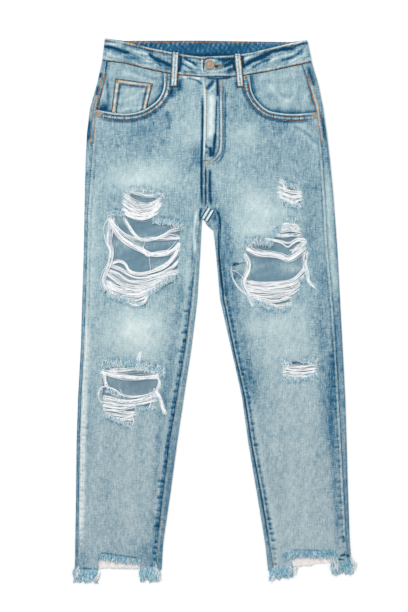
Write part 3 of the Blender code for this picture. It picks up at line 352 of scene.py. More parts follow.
FRONT_CREASES = creases(
    (2.4, -0.5, -0.42, (-51, 70), (-33, 75), (-20, 84)),
    (2.2, 0.5, 0.26, (-60, 69), (-40, 71), (-23, 74)),
    (1.7, -0.5, -0.5, (-17, 71.5), (8, 73), (34, 70)),
    (3.2, -0.5, -0.5, (-15, 92), (-7, 84), (0, 75)),
    (1.6, 0.4, 0.22, (-11, 97), (-1, 88), (2.5, 78)),
    (2.3, -0.5, -0.62, (5.5, 71), (6.5, 90), (6, 106)),
    (1.5, -0.4, -0.5, (4.8, 106), (3.4, 140), (2.8, 164), (1, 190)),
    (6.6, 0.5, 0.32, (-5, 97), (-5, 130), (-6, 186)),
    (3, -0.4, -0.64, (-7, 194), (-6.2, 214)),
    (2.6, -0.4, -0.58, (1.5, 170), (0.5, 192), (-2.5, 214)),
    (1.8, -0.2, -0.34, (-13.3, 191), (-13.3, 198)),
    (1.8, -0.2, -0.3, (-13.3, 203), (-13.3, 208)),
    (1.2, 0.3, 0.22, (12.2, 100), (12.4, 150), (12, 192), (8.5, 206), (0, 219)),
    (1.1, -0.3, -0.42, (15.6, 78), (15.8, 150), (15.4, 196), (9, 213), (-9, 226.5)),
    (1.1, -0.3, -0.46, (8.6, 78), (9.4, 150), (9.2, 194), (2, 211), (-9, 221)),
    (1.8, -0.3, -0.34, (19.6, 84), (19.6, 150), (18.6, 200), (9, 221), (-6, 230)),
    (1.5, 0.5, 0.4, (-20.3, 71), (-16.6, 104), (-16.8, 164), (-17.5, 190), (-19, 222)),
    (1.9, -0.5, -0.72, (-20.8, 98), (-21.2, 164), (-22.6, 219), (-22.8, 262), (-21.8, 304)),
    (7.5, 0, -0.26, (-15.3, 232), (-15.3, 304)),
    (1.1, 0.4, 0.34, (-18.4, 224), (-18.2, 303)),
    (1.1, 0.4, 0.3, (-12.2, 224), (-12.2, 303)),
    (1, -0.5, -0.62, (-15.3, 226), (-15.2, 305)),
    (2.4, -0.3, -0.46, (-7.4, 232), (-7.6, 275), (-5, 303)),
    # painted shadow of the fold along the fork and down the left leg's inner edge
    (1.9, -0.4, -0.75, (-4.5, 300), (2, 307.5), (7.6, 315), (9.8, 325), (10.2, 340), (9.2, 360), (10, 396),
     (14.6, 440), (20, 470)),
    (3, 0.4, -0.04, (14, 312), (18.5, 340), (20, 396)),
    (1.6, -0.4, -0.5, (-22.6, 304), (-25.4, 316), (-25, 330)),
    (3.4, -0.3, -0.3, (2, 312), (1, 330)),
    (3, 0, -0.16, (60, 76), (64, 96), (72, 112), (84, 126)),
    (4, 0.6, 0.1, (140, 152), (162, 160), (176, 176)),
    (4, 0.5, 0.08, (152, 168), (170, 182), (184, 200)),
    (3, -0.4, -0.08, (146, 160), (168, 172), (182, 190)),
    (3.5, 0.6, 0.12, (-33, 315), (-31, 350), (-34, 400), (-42, 440)),
    (3, -0.4, -0.12, (-38, 310), (-37, 350), (-41, 410)),
    (2.4, -0.3, -0.12, (-27, 330), (-29, 370), (-35, 430)),
    (12, 1, 0.03, (-180, 215), (-130, 232), (-70, 236)),
    (12, 0.9, 0.02, (-60, 260), (-40, 300), (-30, 340)),
    (14, 0.9, 0.04, (10, 250), (50, 280), (110, 296)),
    (9, 0.7, 0.03, (40, 300), (110, 312), (180, 330)),
    (14, 0.9, 0.03, (20, 505), (70, 520), (150, 512)),
    (16, 1, 0.03, (-210, 520), (-150, 530), (-80, 515)),
    (5, 0.5, 0.33, (-228, 470), (-230, 560), (-234, 660), (-236.5, 760), (-238.5, 860), (-240, 945)),
    (5, -0.3, -0.07, (-227, 590), (-227, 720), (-230, 840)),
    (6, -0.3, -0.14, (210, 560), (211.5, 700), (217, 800), (224, 930)),
    (2.4, 0.5, 0.26, (-27, 306), (-34, 325), (-36.5, 355), (-33, 392)),
    (2.2, -0.4, -0.14, (-31, 322), (-32, 350), (-30, 372)),
    (1.5, -0.3, -0.24, (-209, 924), (-170, 929.4), (-133, 934.4)),
    (1.5, -0.3, -0.2, (134, 919.6), (178, 920.6), (222, 922)),
    (1.7, -0.3, -0.26, (-246, 953.4), (-228, 953.4), (-209, 955)),
    (2, -0.4, -0.5, (226, 931), (234, 928.5), (244, 932)),
    (1.6, -0.3, -0.34, (222, 936), (234, 937.5)),
    (2, -0.3, -0.34, (232, 893), (235, 906)),
    # painted shade inside the corner of the left thigh rip, in this row and the two rows below
    (2.4, -0.4, -0.55, (33, 406.5), (46, 406.5), (58, 406)),
    (1.8, -0.4, -0.42, (139, 583.6), (147, 582.2), (155, 583.6)),
    (2.8, -0.4, -0.5, (42, 411.5), (58, 414)),
    (2.4, -0.4, -0.5, (51, 419), (59, 423)),
    (9, 0.3, 0.04, (-150, 905), (-156, 780), (-148, 700)),
    (8, -0.2, -0.04, (-190, 905), (-196, 780)),
    (4, -0.4, -0.34, (-224, 146), (-226, 168), (-228, 186)),
    (3.5, 0.3, 0.16, (-228, 200), (-229.5, 240)),
    (3, -0.4, -0.5, (-205, 62), (-204, 70)),
    (2.6, -0.4, -0.42, (-207, 84), (-211.5, 104)),
    (3.4, -0.4, -0.36, (168, 48), (180, 88)),
    (3, -0.3, -0.26, (190, 134), (196, 160), (199, 186)),
    (5, -0.3, -0.22, (-86, 130), (-80, 145), (-82, 166)),
    (5, -0.4, -0.34, (-79, 92), (-74, 108)),
    (4, -0.4, -0.28, (-60, 72), (-62, 96)),
    (3, -0.4, -0.3, (39, 78), (41, 92)),
    (6, -0.3, -0.1, (-96, 690), (-102, 780), (-112, 880)),
    (16, 0.8, 0, (-180, 720), (-140, 735), (-100, 728)),
    (18, 0.8, 0, (-200, 840), (-160, 850), (-120, 842)),
    (16, 0.8, 0, (90, 700), (140, 712), (210, 705)),
    (18, 0.7, 0, (110, 820), (160, 830), (215, 825)),
)
# Troughs here darken partly with painted shade; the dark rows beside the belt loops (x about -60, 33 to 39 and 51 to
# 54) are painted shadow of the loops, and the short dark row at drop 51 is painted shade in the buttonhole's slit.
BAND_CREASES = creases(
    (5, 0, -0.16, (-190, 24), (-160, 33), (-128, 41)),
    (6, 0, -0.18, (-104, 46), (-88, 54), (-76, 58)),
    (8, 0, -0.1, (12, 40), (24, 41), (36, 44)),
    (7, 0, -0.3, (24, 56), (34, 60)),
    (6, 0, -0.2, (56, 50), (76, 40), (96, 34)),
    (3.5, 0, -0.2, (-58, 60), (-44, 61), (-28, 62)),
    (1.6, -0.5, -1, (0.5, 51.9), (4, 51.4), (7.5, 50.9)),
    (5, 0, -0.2, (12, 46), (22, 47), (34, 44)),
    (4, 0, -0.16, (8, 56), (20, 58), (32, 56)),
    (2, -0.5, -0.6, (51, 30), (52, 44), (54, 54)),
    (1.8, -0.5, -0.6, (33, 32), (35, 46), (37.5, 60)),
    (2.6, -0.9, -0.72, (-202, 14.5), (-184, 17), (-170, 21.5), (-150, 27.5)),
    (2.6, 0.6, 0.26, (-198, 9.5), (-182, 10.5), (-164, 11)),
    (3.2, 0.6, 0.24, (-196, 28), (-176, 31), (-160, 36)),
    (2.4, 0.6, 0.26, (-150, 22), (-128, 27), (-112, 36)),
    (2.9, -0.9, -0.74, (-120, 27), (-104, 38), (-90, 44), (-75, 51)),
    (1.8, -0.6, -0.34, (-146, 12), (-128, 18), (-106, 26)),
    (2, 0.5, 0.2, (-126, 40), (-108, 46), (-86, 55)),
    (1.5, -0.4, -0.24, (-120, 44), (-104, 46), (-92, 50)),
    (1.4, -0.5, -0.3, (-176, 40), (-158, 43), (-140, 47)),
    (2, -0.5, -0.8, (-60, 28), (-60.5, 44), (-63, 62)),
    (2, -0.8, -0.5, (-56, 35), (-44, 41), (-30, 49)),
    (1.8, -0.7, -0.42, (-60, 43), (-50, 50), (-38, 57)),
    (2, 0.6, 0.32, (-54, 41), (-42, 47), (-32, 55)),
    (3, 0.4, 0.2, (-54, 53), (-40, 60)),
    (1.7, 0.5, 0.42, (-21.8, 35), (-21.5, 50), (-20.5, 64)),
    (1, -0.5, -0.5, (-18.6, 40), (-18.5, 52)),
    (1.8, 0.5, 0.34, (-15.5, 44), (-12, 40.5), (-5, 39.2), (3, 42)),
    (1.1, -0.3, -0.6, (-19.4, 60), (-19.8, 48), (-17, 39.5), (-9, 36), (3, 36)),
    (3, -0.6, -0.36, (3, 36), (14, 40), (28, 38), (37, 34)),
    (1.9, -0.6, -0.44, (16, 53), (26, 47), (33, 42)),
    (2.4, 0.5, 0.3, (10, 60), (24, 54), (34, 48)),
    (2.6, 0.4, 0.16, (-14, 60), (2, 60), (16, 58)),
    (1.8, -0.5, -0.42, (38, 40), (39.5, 62)),
    (2.9, -0.9, -0.7, (48, 54), (64, 43), (82, 34), (102, 27.5)),
    (2.7, -0.9, -0.6, (88, 32), (106, 24.5), (124, 20.5), (148, 18.5)),
    (2.4, 0.5, 0.28, (56, 57), (70, 47), (86, 40)),
    (2.4, 0.6, 0.3, (52, 39), (70, 31), (92, 22)),
    (1.8, -0.6, -0.38, (66, 53), (84, 44), (104, 37)),
    (2.6, 0.6, 0.26, (96, 42), (120, 33), (148, 27)),
    (1.9, -0.7, -0.4, (116, 42), (140, 34), (162, 20)),
    (2.2, 0.5, 0.24, (132, 43), (152, 35), (170, 28)),
    (1.7, -0.5, -0.36, (142, 17), (156, 11), (168, 8)),
    (1.8, 0.4, 0.2, (120, 14), (142, 10), (160, 6)),
)
BACK_CREASES = creases(        # the back lies flat where it rests, so these show in the wash alone
    (5, 0, -0.17, (-26, 300), (-70, 317), (-128, 322), (-206, 311)),
    (6, 0, 0.11, (-30, 318), (-84, 335), (-150, 338)),
    (3.5, 0, -0.12, (-40, 338), (-96, 352), (-132, 350)),
    (4.5, 0, -0.18, (-8, 302), (46, 316), (118, 318), (176, 306)),
    (5.5, 0, 0.1, (0, 322), (58, 336), (104, 333)),
    (3, 0, -0.1, (38, 352), (104, 349)),
    (4, 0, -0.17, (-205, 508), (-158, 517), (-104, 505)),
    (3.4, 0, -0.14, (-214, 536), (-176, 548), (-128, 545), (-92, 533)),
    (4.5, 0, 0.12, (-200, 526), (-150, 534), (-112, 526)),
    (3, 0, -0.1, (-196, 577), (-140, 569)),
    (4.2, 0, -0.16, (84, 500), (132, 512), (186, 506)),
    (3.2, 0, -0.15, (78, 528), (110, 541), (160, 538), (202, 524)),
    (4.4, 0, 0.11, (96, 519), (140, 526), (182, 518)),
    (2.8, 0, -0.11, (112, 560), (168, 571)),
    (5, 0, -0.08, (-206, 742), (-160, 733)),
    (5, 0, -0.08, (122, 764), (190, 752)),
    (4, 0, -0.12, (-232, 904), (-176, 912), (-120, 902)),
    (3.6, 0, -0.11, (120, 893), (166, 899), (226, 888)),
)
FACING_CREASES = creases(
    (5.5, -0.3, -0.32, (-113, 130), (-103, 117), (-95, 101)),
    (4.5, -0.2, -0.24, (-142, 133), (-118, 125)),
    (6, -0.2, -0.2, (-203, 118), (-192, 117)),
    (5, -0.2, -0.12, (104, 126), (128, 131), (160, 132)),
    (4, 0.5, 0.14, (-170, 60), (-140, 68), (-104, 82)),
    (3, -0.4, -0.16, (-150, 58), (-125, 68), (-98, 76)),
    (3, -0.4, -0.22, (-108, 100), (-100, 92), (-94, 82)),
    (2.6, 0.4, 0.1, (-116, 120), (-104, 108), (-96, 98)),
    (5, -0.3, -0.5, (-206, 127), (-198, 125), (-188, 124)),
    (2.4, -0.4, -0.4, (-118.5, 88), (-119, 100), (-123, 126)),
    (2, -0.4, -0.26, (-193, 76), (-191, 100), (-190, 124)),
    (2.2, -0.4, -0.44, (-200, 64), (-202.5, 90), (-210, 124)),
    (2, 0.4, 0.22, (-196.6, 66), (-198.6, 90), (-205, 116)),
    (4, 0.3, 0.08, (-152, 80), (-128, 92)),
    (3.4, -0.3, -0.2, (69, 62), (71, 84), (76, 100)),
    (3.4, 0.3, 0.12, (96, 78), (112, 100), (140, 118)),
    (3.4, 0.3, 0.12, (156, 118), (164, 104), (174, 96)),
    (3, -0.3, -0.12, (-196, 60), (-190, 90), (-190, 118)),
    (2.6, 0.3, 0.12, (-201, 66), (-200, 90), (-204, 112)),
    (6, 0.5, 0.08, (74, 70), (110, 68), (150, 62)),
    (6, 0.5, 0.08, (84, 92), (120, 90), (160, 96)),
    (4, -0.4, -0.06, (90, 104), (126, 104), (164, 112)),
    (4, -0.3, -0.16, (170, 70), (172, 95), (178, 122)),
    (5, 0.4, 0.1, (110, 122), (134, 112), (150, 100)),
)

# bared white threads of each rip: half width of a bundle, its threads and its middle line
Yarn = namedtuple("Yarn", "spread count points")
YARNS = {rip: [Yarn(spread, count, points) for spread, count, *points in rows] for rip, rows in {
    "right_thigh": [
        (2, 5, (-151, 277), (-136, 280), (-117, 283), (-96, 278)),
        (3.5, 9, (-158, 283), (-145, 294), (-127, 300), (-111, 298), (-99, 291)),
        (4, 12, (-161, 295), (-145, 305), (-128, 310), (-111, 306), (-99, 298)),
        (4, 12, (-162, 306), (-148, 314), (-131, 319), (-114, 314), (-102, 305)),
        (3, 9, (-158, 315), (-145, 322), (-130, 324), (-117, 321), (-106, 314)),
        (2, 5, (-161, 325), (-150, 343), (-137, 358), (-120, 362), (-96, 356), (-77, 346), (-61, 343)),
        (2, 4, (-93, 356), (-82, 353), (-65, 357)),
        (1.8, 5, (-187, 326), (-175, 339), (-158, 353), (-136, 361), (-111, 359), (-86, 360), (-62, 359)),
        (3.9, 11, (-185, 329), (-175, 348), (-158, 365), (-136, 378), (-114, 388), (-89, 387), (-74, 380),
         (-65, 371)),
        (1.5, 3, (-127, 377), (-120, 390), (-105, 385), (-86, 382)),
        (4, 12, (-184, 326), (-187, 348), (-189, 367), (-184, 382), (-187, 404), (-195, 422), (-198, 436),
         (-193, 450)),
        (0.8, 2, (-185, 321), (-195, 331), (-199, 345), (-196, 362)),
        (2.5, 7, (-64, 373), (-68, 385), (-77, 399), (-89, 408), (-105, 415)),
        (0.4, 1, (-123, 362), (-127, 376), (-124, 389)),
        (0.4, 1, (-117, 391), (-115, 410)),
        (2, 6, (-185, 405), (-173, 401), (-161, 405), (-152, 418), (-133, 423), (-111, 419), (-89, 410),
         (-72, 393), (-64, 382)),
        (2.4, 7, (-184, 410), (-170, 415), (-154, 424), (-139, 429), (-117, 428), (-93, 421), (-74, 410),
         (-63, 399)),
        (2.6, 8, (-187, 418), (-173, 424), (-158, 435), (-142, 439), (-120, 437), (-99, 429), (-80, 422),
         (-63, 418)),
        (2.6, 8, (-189, 425), (-176, 435), (-161, 443), (-142, 447), (-123, 445), (-108, 439), (-89, 430),
         (-65, 422)),
        (3, 9, (-190, 438), (-178, 445), (-161, 450), (-142, 453), (-123, 451), (-108, 445), (-86, 433)),
        (3, 9, (-192, 447), (-176, 453), (-158, 459), (-139, 460), (-120, 455), (-102, 447)),
        (4.2, 12, (-187, 455), (-170, 463), (-148, 468), (-130, 465), (-114, 457)),
        (2.6, 7, (-162, 470), (-150, 476), (-137, 478), (-127, 475), (-122, 469)),
    ],
    "right_knee": [
        (3.6, 11, (-200, 599), (-181, 604), (-156, 608), (-130, 610), (-101, 608)),
        (2.6, 8, (-183, 597), (-156, 595), (-130, 594), (-112, 599), (-91, 602)),
        (2.6, 8, (-134, 569), (-136, 582), (-134, 594)),
        (2, 6, (-102, 608), (-98, 619), (-103, 634)),
        (2.6, 8, (-105, 634), (-97, 645), (-93, 659), (-89, 672)),
        (2, 6, (-198, 601), (-196, 613), (-193, 626)),
        (1.2, 4, (-193, 625), (-203, 628), (-208, 637), (-207, 646), (-202, 656)),
        (1.4, 5, (-190, 627), (-177, 632), (-165, 641), (-146, 644), (-124, 641), (-105, 633)),
        (0.8, 2, (-168, 634), (-162, 646), (-156, 660)),
        (3.2, 10, (-198, 646), (-178, 649), (-156, 652), (-134, 650), (-108, 642)),
        (2.2, 6, (-199, 652), (-176, 656), (-153, 658), (-130, 655), (-108, 650)),
        (1.2, 3, (-114, 638), (-112, 649), (-115, 660)),
        (2.6, 8, (-201, 659), (-179, 662), (-159, 663), (-144, 660)),
        (2.2, 7, (-200, 666), (-179, 669), (-160, 672), (-146, 672)),
        (1.8, 6, (-194, 674), (-175, 678), (-159, 680), (-146, 677)),
        (2, 6, (-183, 682), (-167, 685), (-149, 685)),
        (0.8, 2, (-148, 676), (-145, 686), (-148, 700)),
    ],
    "left_hip": [
        (3, 8, (120, 258), (126, 261), (128, 271)),
        (2.6, 8, (118, 269), (131, 273), (143, 277), (154, 277)),
        (2.8, 9, (119, 277), (132, 282), (144, 284), (154, 283)),
        (2.8, 9, (121, 285), (134, 290), (146, 291), (154, 290)),
        (1.8, 6, (140, 295), (149, 297), (153, 301)),
    ],
    "left_thigh": [
        (3, 8, (126, 335), (137, 333), (150, 339)),
        (3.4, 9, (124, 345), (137, 342), (152, 346)),
        (2.6, 7, (115, 354), (134, 354), (152, 353)),
        (1.6, 5, (96, 360), (118, 363), (134, 367), (149, 360), (160, 360)),
        (1, 4, (106, 364), (120, 367), (132, 375), (140, 370), (150, 364), (161, 365)),
        (4.2, 13, (58, 376), (78, 385), (100, 387), (120, 391), (134, 396), (149, 388), (162, 377)),
        (3, 8, (143, 382), (152, 374), (162, 368)),
        (3.2, 9, (165, 388), (163, 404), (168, 422), (170, 437), (185, 450)),
        (2.8, 9, (57, 391), (62, 405), (59, 422), (54, 439), (62, 460), (69, 477)),
        (1.2, 3, (30, 410), (33, 429), (43, 447), (54, 457)),
        (0.8, 2, (31, 415), (44, 422), (57, 435)),
        (2.2, 7, (61, 438), (87, 441), (118, 439), (140, 435), (156, 422), (165, 410)),
        (2.6, 8, (59, 445), (87, 448), (118, 446), (143, 441), (163, 425)),
        (2.6, 7, (62, 452), (90, 455), (118, 453), (140, 450), (155, 438)),
        (2.6, 7, (65, 460), (90, 463), (115, 462), (137, 458), (149, 450)),
        (2.6, 7, (72, 466), (93, 470), (115, 471), (134, 466)),
        (2.2, 6, (96, 477), (115, 480), (135, 477)),
        (1.4, 4, (110, 482), (123, 484), (134, 482)),
    ],
    "left_knee": [
        (1.8, 6, (128, 589), (154, 590), (180, 587)),
        (1.8, 6, (127, 594), (151, 596), (181, 594)),
        (1.8, 6, (128, 600), (154, 602), (180, 599)),
        (2, 7, (127, 606), (141, 608), (170, 607), (176, 604)),
    ],
}.items()}
# blue warp ends along the rips: reach, way (1 hangs down, -1 stands up, 0 is tangled) and roots
Fringe = namedtuple("Fringe", "reach way points")
FRINGES = {rip: [Fringe(reach, way, points) for reach, way, *points in rows] for rip, rows in {
    "right_thigh": [
        (7, 1, (-158, 271), (-139, 267), (-117, 269), (-102, 275), (-89, 280)),
        (8, 1, (-193, 314), (-179, 310), (-162, 312)),
        (9, 1, (-111, 325), (-89, 325), (-71, 329), (-55, 333)),
        (8, -1, (-193, 464), (-173, 470), (-151, 478), (-127, 483)),
        (8, -1, (-120, 464), (-102, 453), (-83, 438), (-68, 435)),
    ],
    "right_knee": [
        (12, 1, (-202, 582), (-175, 580), (-149, 580), (-118, 586), (-89, 594)),
        (7, 0, (-194, 629), (-181, 634), (-168, 642)),
        (6, 0, (-143, 662), (-124, 663), (-108, 659)),
        (8, -1, (-200, 678), (-181, 687), (-159, 697), (-148, 695)),
    ],
    "left_hip": [
        (8, 1, (120, 252), (134, 260), (152, 266)),
        (7, -1, (123, 297), (137, 302), (152, 303)),
    ],
    "left_thigh": [
        (10, 1, (50, 364), (75, 360), (106, 364)),
        (8, 1, (106, 348), (118, 339)),
        (6, 1, (131, 322), (149, 325)),
        (8, -1, (65, 473), (90, 483), (115, 492), (137, 489)),
        (6, -1, (152, 438), (165, 435)),
    ],
    "left_knee": [
        (8, 1, (121, 582), (129, 579), (137, 577)),
        (8, 1, (158, 576), (170, 575), (185, 576)),
        (8, -1, (122, 616), (151, 616), (187, 610)),
    ],
}.items()}


# ---------------------------------------------------------------- sizes and colours a user would change
def swatch(name, description, red, green, blue):
    """A colour property; its default is given as the colour shows on a screen, 0 to 255."""
    linear = [((c / 255 + 0.055) / 1.055) ** 2.4 if c > 10 else c / 3295 for c in (red, green, blue)]
    return bpy.props.FloatVectorProperty(name=name, description=description, subtype="COLOR", size=3,
                                         min=0.0, max=1.0, default=linear)


def length(name, description, millimetres):
    return bpy.props.FloatProperty(name=name, description=description, subtype="DISTANCE", unit="LENGTH",
                                   min=0.0001, soft_max=0.05, precision=5, default=millimetres * MM)


def factor(name, description, default, top=1.0):
    return bpy.props.FloatProperty(name=name, description=description, subtype="FACTOR", min=0.0, max=top,
                                   default=default)


class JeansColours(bpy.types.PropertyGroup):
    # The indigo and deep blue ends of the wash ramp also serve as painted shade in the troughs of creases and beside
    # seams.
    indigo: swatch("Indigo", "Unworn blue left in the deepest creases", 2, 58, 90)
    deep: swatch("Deep blue", "Creases and the sides of seams", 54, 108, 138)
    wash: swatch("Stone wash", "Most of the cloth", 140, 169, 180)
    faded: swatch("Faded", "Thighs and knees", 190, 211, 213)
    worn: swatch("Worn white", "Ridges rubbed down to the white threads", 229, 236, 237)
    inside: swatch("Inside", "Wrong side of the cloth, seen through the rips", 120, 150, 165)
    inside_deep: swatch("Inside, shaded", "Folds of the wrong side", 80, 114, 134)
    band_inside: swatch("Band inside", "Unworn inside of the waistband", 36, 100, 138)
    raw: swatch("Raw edge", "Inside of the torn hems", 244, 233, 228)
    thread: swatch("Bared threads", "White weft threads", 252, 254, 255)
    thread_shade: swatch("Bared threads, shaded", "Threads deep in a bundle", 158, 184, 202)
    fringe: swatch("Blue fringe", "Broken warp ends", 188, 226, 236)
    fringe_deep: swatch("Blue fringe, unworn", "The least worn warp ends", 100, 164, 194)
    rust: swatch("Rust stitching", "Topstitching and bar tacks", 194, 124, 44)
    orange: swatch("Orange thread", "Buttonhole", 255, 176, 26)
    old_stitch: swatch("Worn stitching", "Topstitching washed to a pinkish brown", 146, 114, 82)
    copper: swatch("Copper", "Button and rivets", 176, 156, 134)
    tarnish: swatch("Tarnish", "Dark film on the copper", 92, 82, 74)
    tape: swatch("Zip tape", "Woven tape of the zip", 74, 92, 112)
    floor: swatch("Floor", "Plain ground", 255, 255, 255)


class JeansSizes(bpy.types.PropertyGroup):
    mesh_step: length("Mesh step", "Spacing of the points over the front panels", 2.3)
    under_step: length("Under step", "Spacing of the points under the front panels", 6.0)
    back_step: length("Back mesh step", "Spacing of the rows down the back panels", 3.4)
    crease_height: factor("Crease height", "How strongly the creases stand", 1.0, 2.0)
    # This scales the creases' darkening in the wash, which is partly painted shade.
    crease_wash_and_shade: factor("Crease wash", "How strongly the creases show in the wash", 1.2, 2.0)
    rag: length("Raggedness", "How far a torn edge wanders", 1.0)
    weave: length("Weave", "From one warp thread to the next", 0.55)
    yarn: length("Yarn", "Thickness of a bared thread", 1.05)
    stitch: length("Stitch", "Length of a stitch", 2.8)
    stitch_gap: length("Stitch gap", "Cloth between two stitches", 0.6)
    stitch_width: length("Stitching thread", "Thickness of the stitching thread", 1.5)
    fringe_spacing: length("Fringe spacing", "From one broken warp end to the next", 0.5)
    fringe_width: length("Fringe yarn", "Thickness of a broken warp end", 0.5)


class JeansStage(bpy.types.PropertyGroup):
    sky: factor("Sky", "Strength of the even light from all round", 0.66, 4.0)
    key: bpy.props.FloatProperty(name="Key light", description="Power of the soft lamp", subtype="POWER",
                                 unit="POWER", min=0.0, default=212.0)
    distance: length("Camera distance", "Height of the camera above the cloth", 3000.0)


def colours():
    return bpy.context.scene.jeans_colours


def sizes():
    return bpy.context.scene.jeans_sizes


# ---------------------------------------------------------------- reading the tables
def clamp01(value):
    return np.clip(value, 0.0, 1.0)


def smooth01(value):
    t = clamp01(value)
    return t * t * (3.0 - 2.0 * t)


def bell(value, middle, width):
    """1 where the value is at the middle, falling off to nothing on both sides."""
    return np.exp(-((value - middle) / width) ** 2)


def outward(side):
    return -1.0 if side == "right" else 1.0


def leg(side, drop, column):
    rows = LEGS[side]
    return np.interp(drop, [row.drop for row in rows], [getattr(row, column) for row in rows])


def layer(drop, column):
    return np.interp(drop, [row.drop for row in LAYERS], [getattr(row, column) for row in LAYERS])


def edge(line, x):
    """Drop of an edge at x; the line runs from the wearer's right to the left."""
    return np.interp(x, [p[0] for p in line], [p[1] for p in line])


def smooth_line(points, steps=6):
    """Catmull-Rom curve through an open line of points, as an array."""
    p = np.asarray(points, float)
    p = np.vstack([2 * p[0] - p[1], p, 2 * p[-1] - p[-2]])
    t = (np.arange(steps) / steps)[:, None]
    line = [0.5 * (2 * b + (c - a) * t + (2 * a - 5 * b + 4 * c - d) * t ** 2
                   + (3 * b - a - 3 * c + d) * t ** 3)
            for a, b, c, d in zip(p, p[1:], p[2:], p[3:])]
    return np.vstack(line + [p[-2]])


def resample(points, step, closed=False):
    """The same line with a point about every step, keeping its corners."""
    p = np.asarray(points, float)
    if closed:
        p = np.vstack([p, p[:1]])
    runs = []
    for a, b in zip(p, p[1:]):
        count = max(1, round(float(np.linalg.norm(b - a)) / step))
        runs.append(a + (b - a) * (np.arange(count) / count)[:, None])
    return np.vstack(runs) if closed else np.vstack(runs + [p[-1:]])


def even(points, step):
    """Points at equal distances along a line."""
    p = np.asarray(points, float)
    run = np.concatenate([[0.0], np.cumsum(np.linalg.norm(np.diff(p, axis=0), axis=1))])
    at = np.linspace(0.0, run[-1], max(2, round(run[-1] / step) + 1))
    return np.column_stack([np.interp(at, run, p[:, k]) for k in range(p.shape[1])])


def offset_line(points, distance):
    """The line moved sideways, to its left when distance is positive."""
    p = np.asarray(points, float)
    run = np.gradient(p, axis=0)
    run /= np.maximum(np.linalg.norm(run, axis=1, keepdims=True), 1e-9)
    return p + distance * np.column_stack([-run[:, 1], run[:, 0]])


def wander(x, y, scale, seed):
    """Smooth unevenness between about -1 and 1, the same each time."""
    pick = random.Random(seed)
    total = np.zeros(np.broadcast(x, y).shape)
    for _ in range(7):
        angle = pick.uniform(0.0, 2.0 * math.pi)
        rate = 2.0 * math.pi / (scale * pick.uniform(0.6, 1.7))
        total += np.sin((x * math.cos(angle) + y * math.sin(angle)) * rate + pick.uniform(0.0, 6.3))
    return total / 3.2


def within(points, outline):
    """Which places lie inside a closed outline."""
    x, y = points[:, 0], points[:, 1]
    inside = np.zeros(len(points), bool)
    ends = np.roll(outline, -1, axis=0)
    for (ax, ay), (bx, by) in zip(outline, ends):
        if ay == by:
            continue
        crosses = (ay > y) != (by > y)
        inside ^= crosses & (x < (bx - ax) * (y - ay) / (by - ay) + ax)
    return inside


def from_line(x, drop, line):
    """Distance of each place from a line, and how far along the line its nearest point is, 0 to 1."""
    near = np.full(x.shape, 1e9)
    along = np.zeros(x.shape)
    steps = np.linalg.norm(np.diff(line, axis=0), axis=1)
    total = steps.sum()
    done = 0.0
    for a, b, step in zip(line, line[1:], steps):
        run = b - a
        t = clamp01(((x - a[0]) * run[0] + (drop - a[1]) * run[1]) / max(step * step, 1e-9))
        distance = np.hypot(x - a[0] - t * run[0], drop - a[1] - t * run[1])
        closer = distance < near
        near = np.where(closer, distance, near)
        along = np.where(closer, (done + t * step) / total, along)
        done += step
    return near, along


def traced(creases):
    """The creases with their smooth lines worked out."""
    return tuple(crease._replace(points=smooth_line(crease.points, 4) if 2 < len(crease.points) < 12
                                 else np.asarray(crease.points, float)) for crease in creases)


def creased(x, drop, creases):
    """Rise and wash of a set of creases at each place."""
    x, drop = np.broadcast_arrays(np.asarray(x, float), np.asarray(drop, float))
    shape = x.shape
    x, drop = x.ravel(), drop.ravel()
    rise = np.zeros(x.shape)
    tone = np.zeros(x.shape)
    if not len(x):
        return rise.reshape(shape), tone.reshape(shape)
    least, most = np.array([x.min(), drop.min()]), np.array([x.max(), drop.max()])
    for crease in creases:
        line = crease.points
        reach = 3.0 * crease.width
        low, high = line.min(axis=0) - reach, line.max(axis=0) + reach
        if (low > most).any() or (high < least).any():
            continue
        near = (x > low[0]) & (x < high[0]) & (drop > low[1]) & (drop < high[1])
        if not near.any():
            continue
        distance, along = from_line(x[near], drop[near], line)
        taper = smooth01(np.minimum(along, 1.0 - along) * 6.0 + 0.08)
        share = np.exp(-(distance / crease.width) ** 2) * taper
        rise[near] += crease.rise * share
        tone[near] += crease.tone * share
    return rise.reshape(shape), tone.reshape(shape)


# ---------------------------------------------------------------- seams
def leg_line(side, column, start, end, inward=0.0, count=60):
    """A line down a leg at a distance inside one of its edges."""
    drops = np.linspace(start, end, count)
    sign = outward(side) * (1.0 if column in ("inner_edge", "inseam") else -1.0)
    return np.column_stack([leg(side, drops, column) + sign * inward, drops])


def pocket_line(side, inward=0.0):
    """The free edge of a front pocket, or a line beside it in the front panel."""
    turn = outward(side)
    line = offset_line(smooth_line(POCKET_EDGE[side], 4), inward * turn)
    keep = (line[:, 1] > edge(WAIST_SEAM, line[:, 0]) + SEAM + 0.5)
    keep &= turn * (leg(side, line[:, 1], "side_seam") - line[:, 0]) > 0.6
    return line[keep]


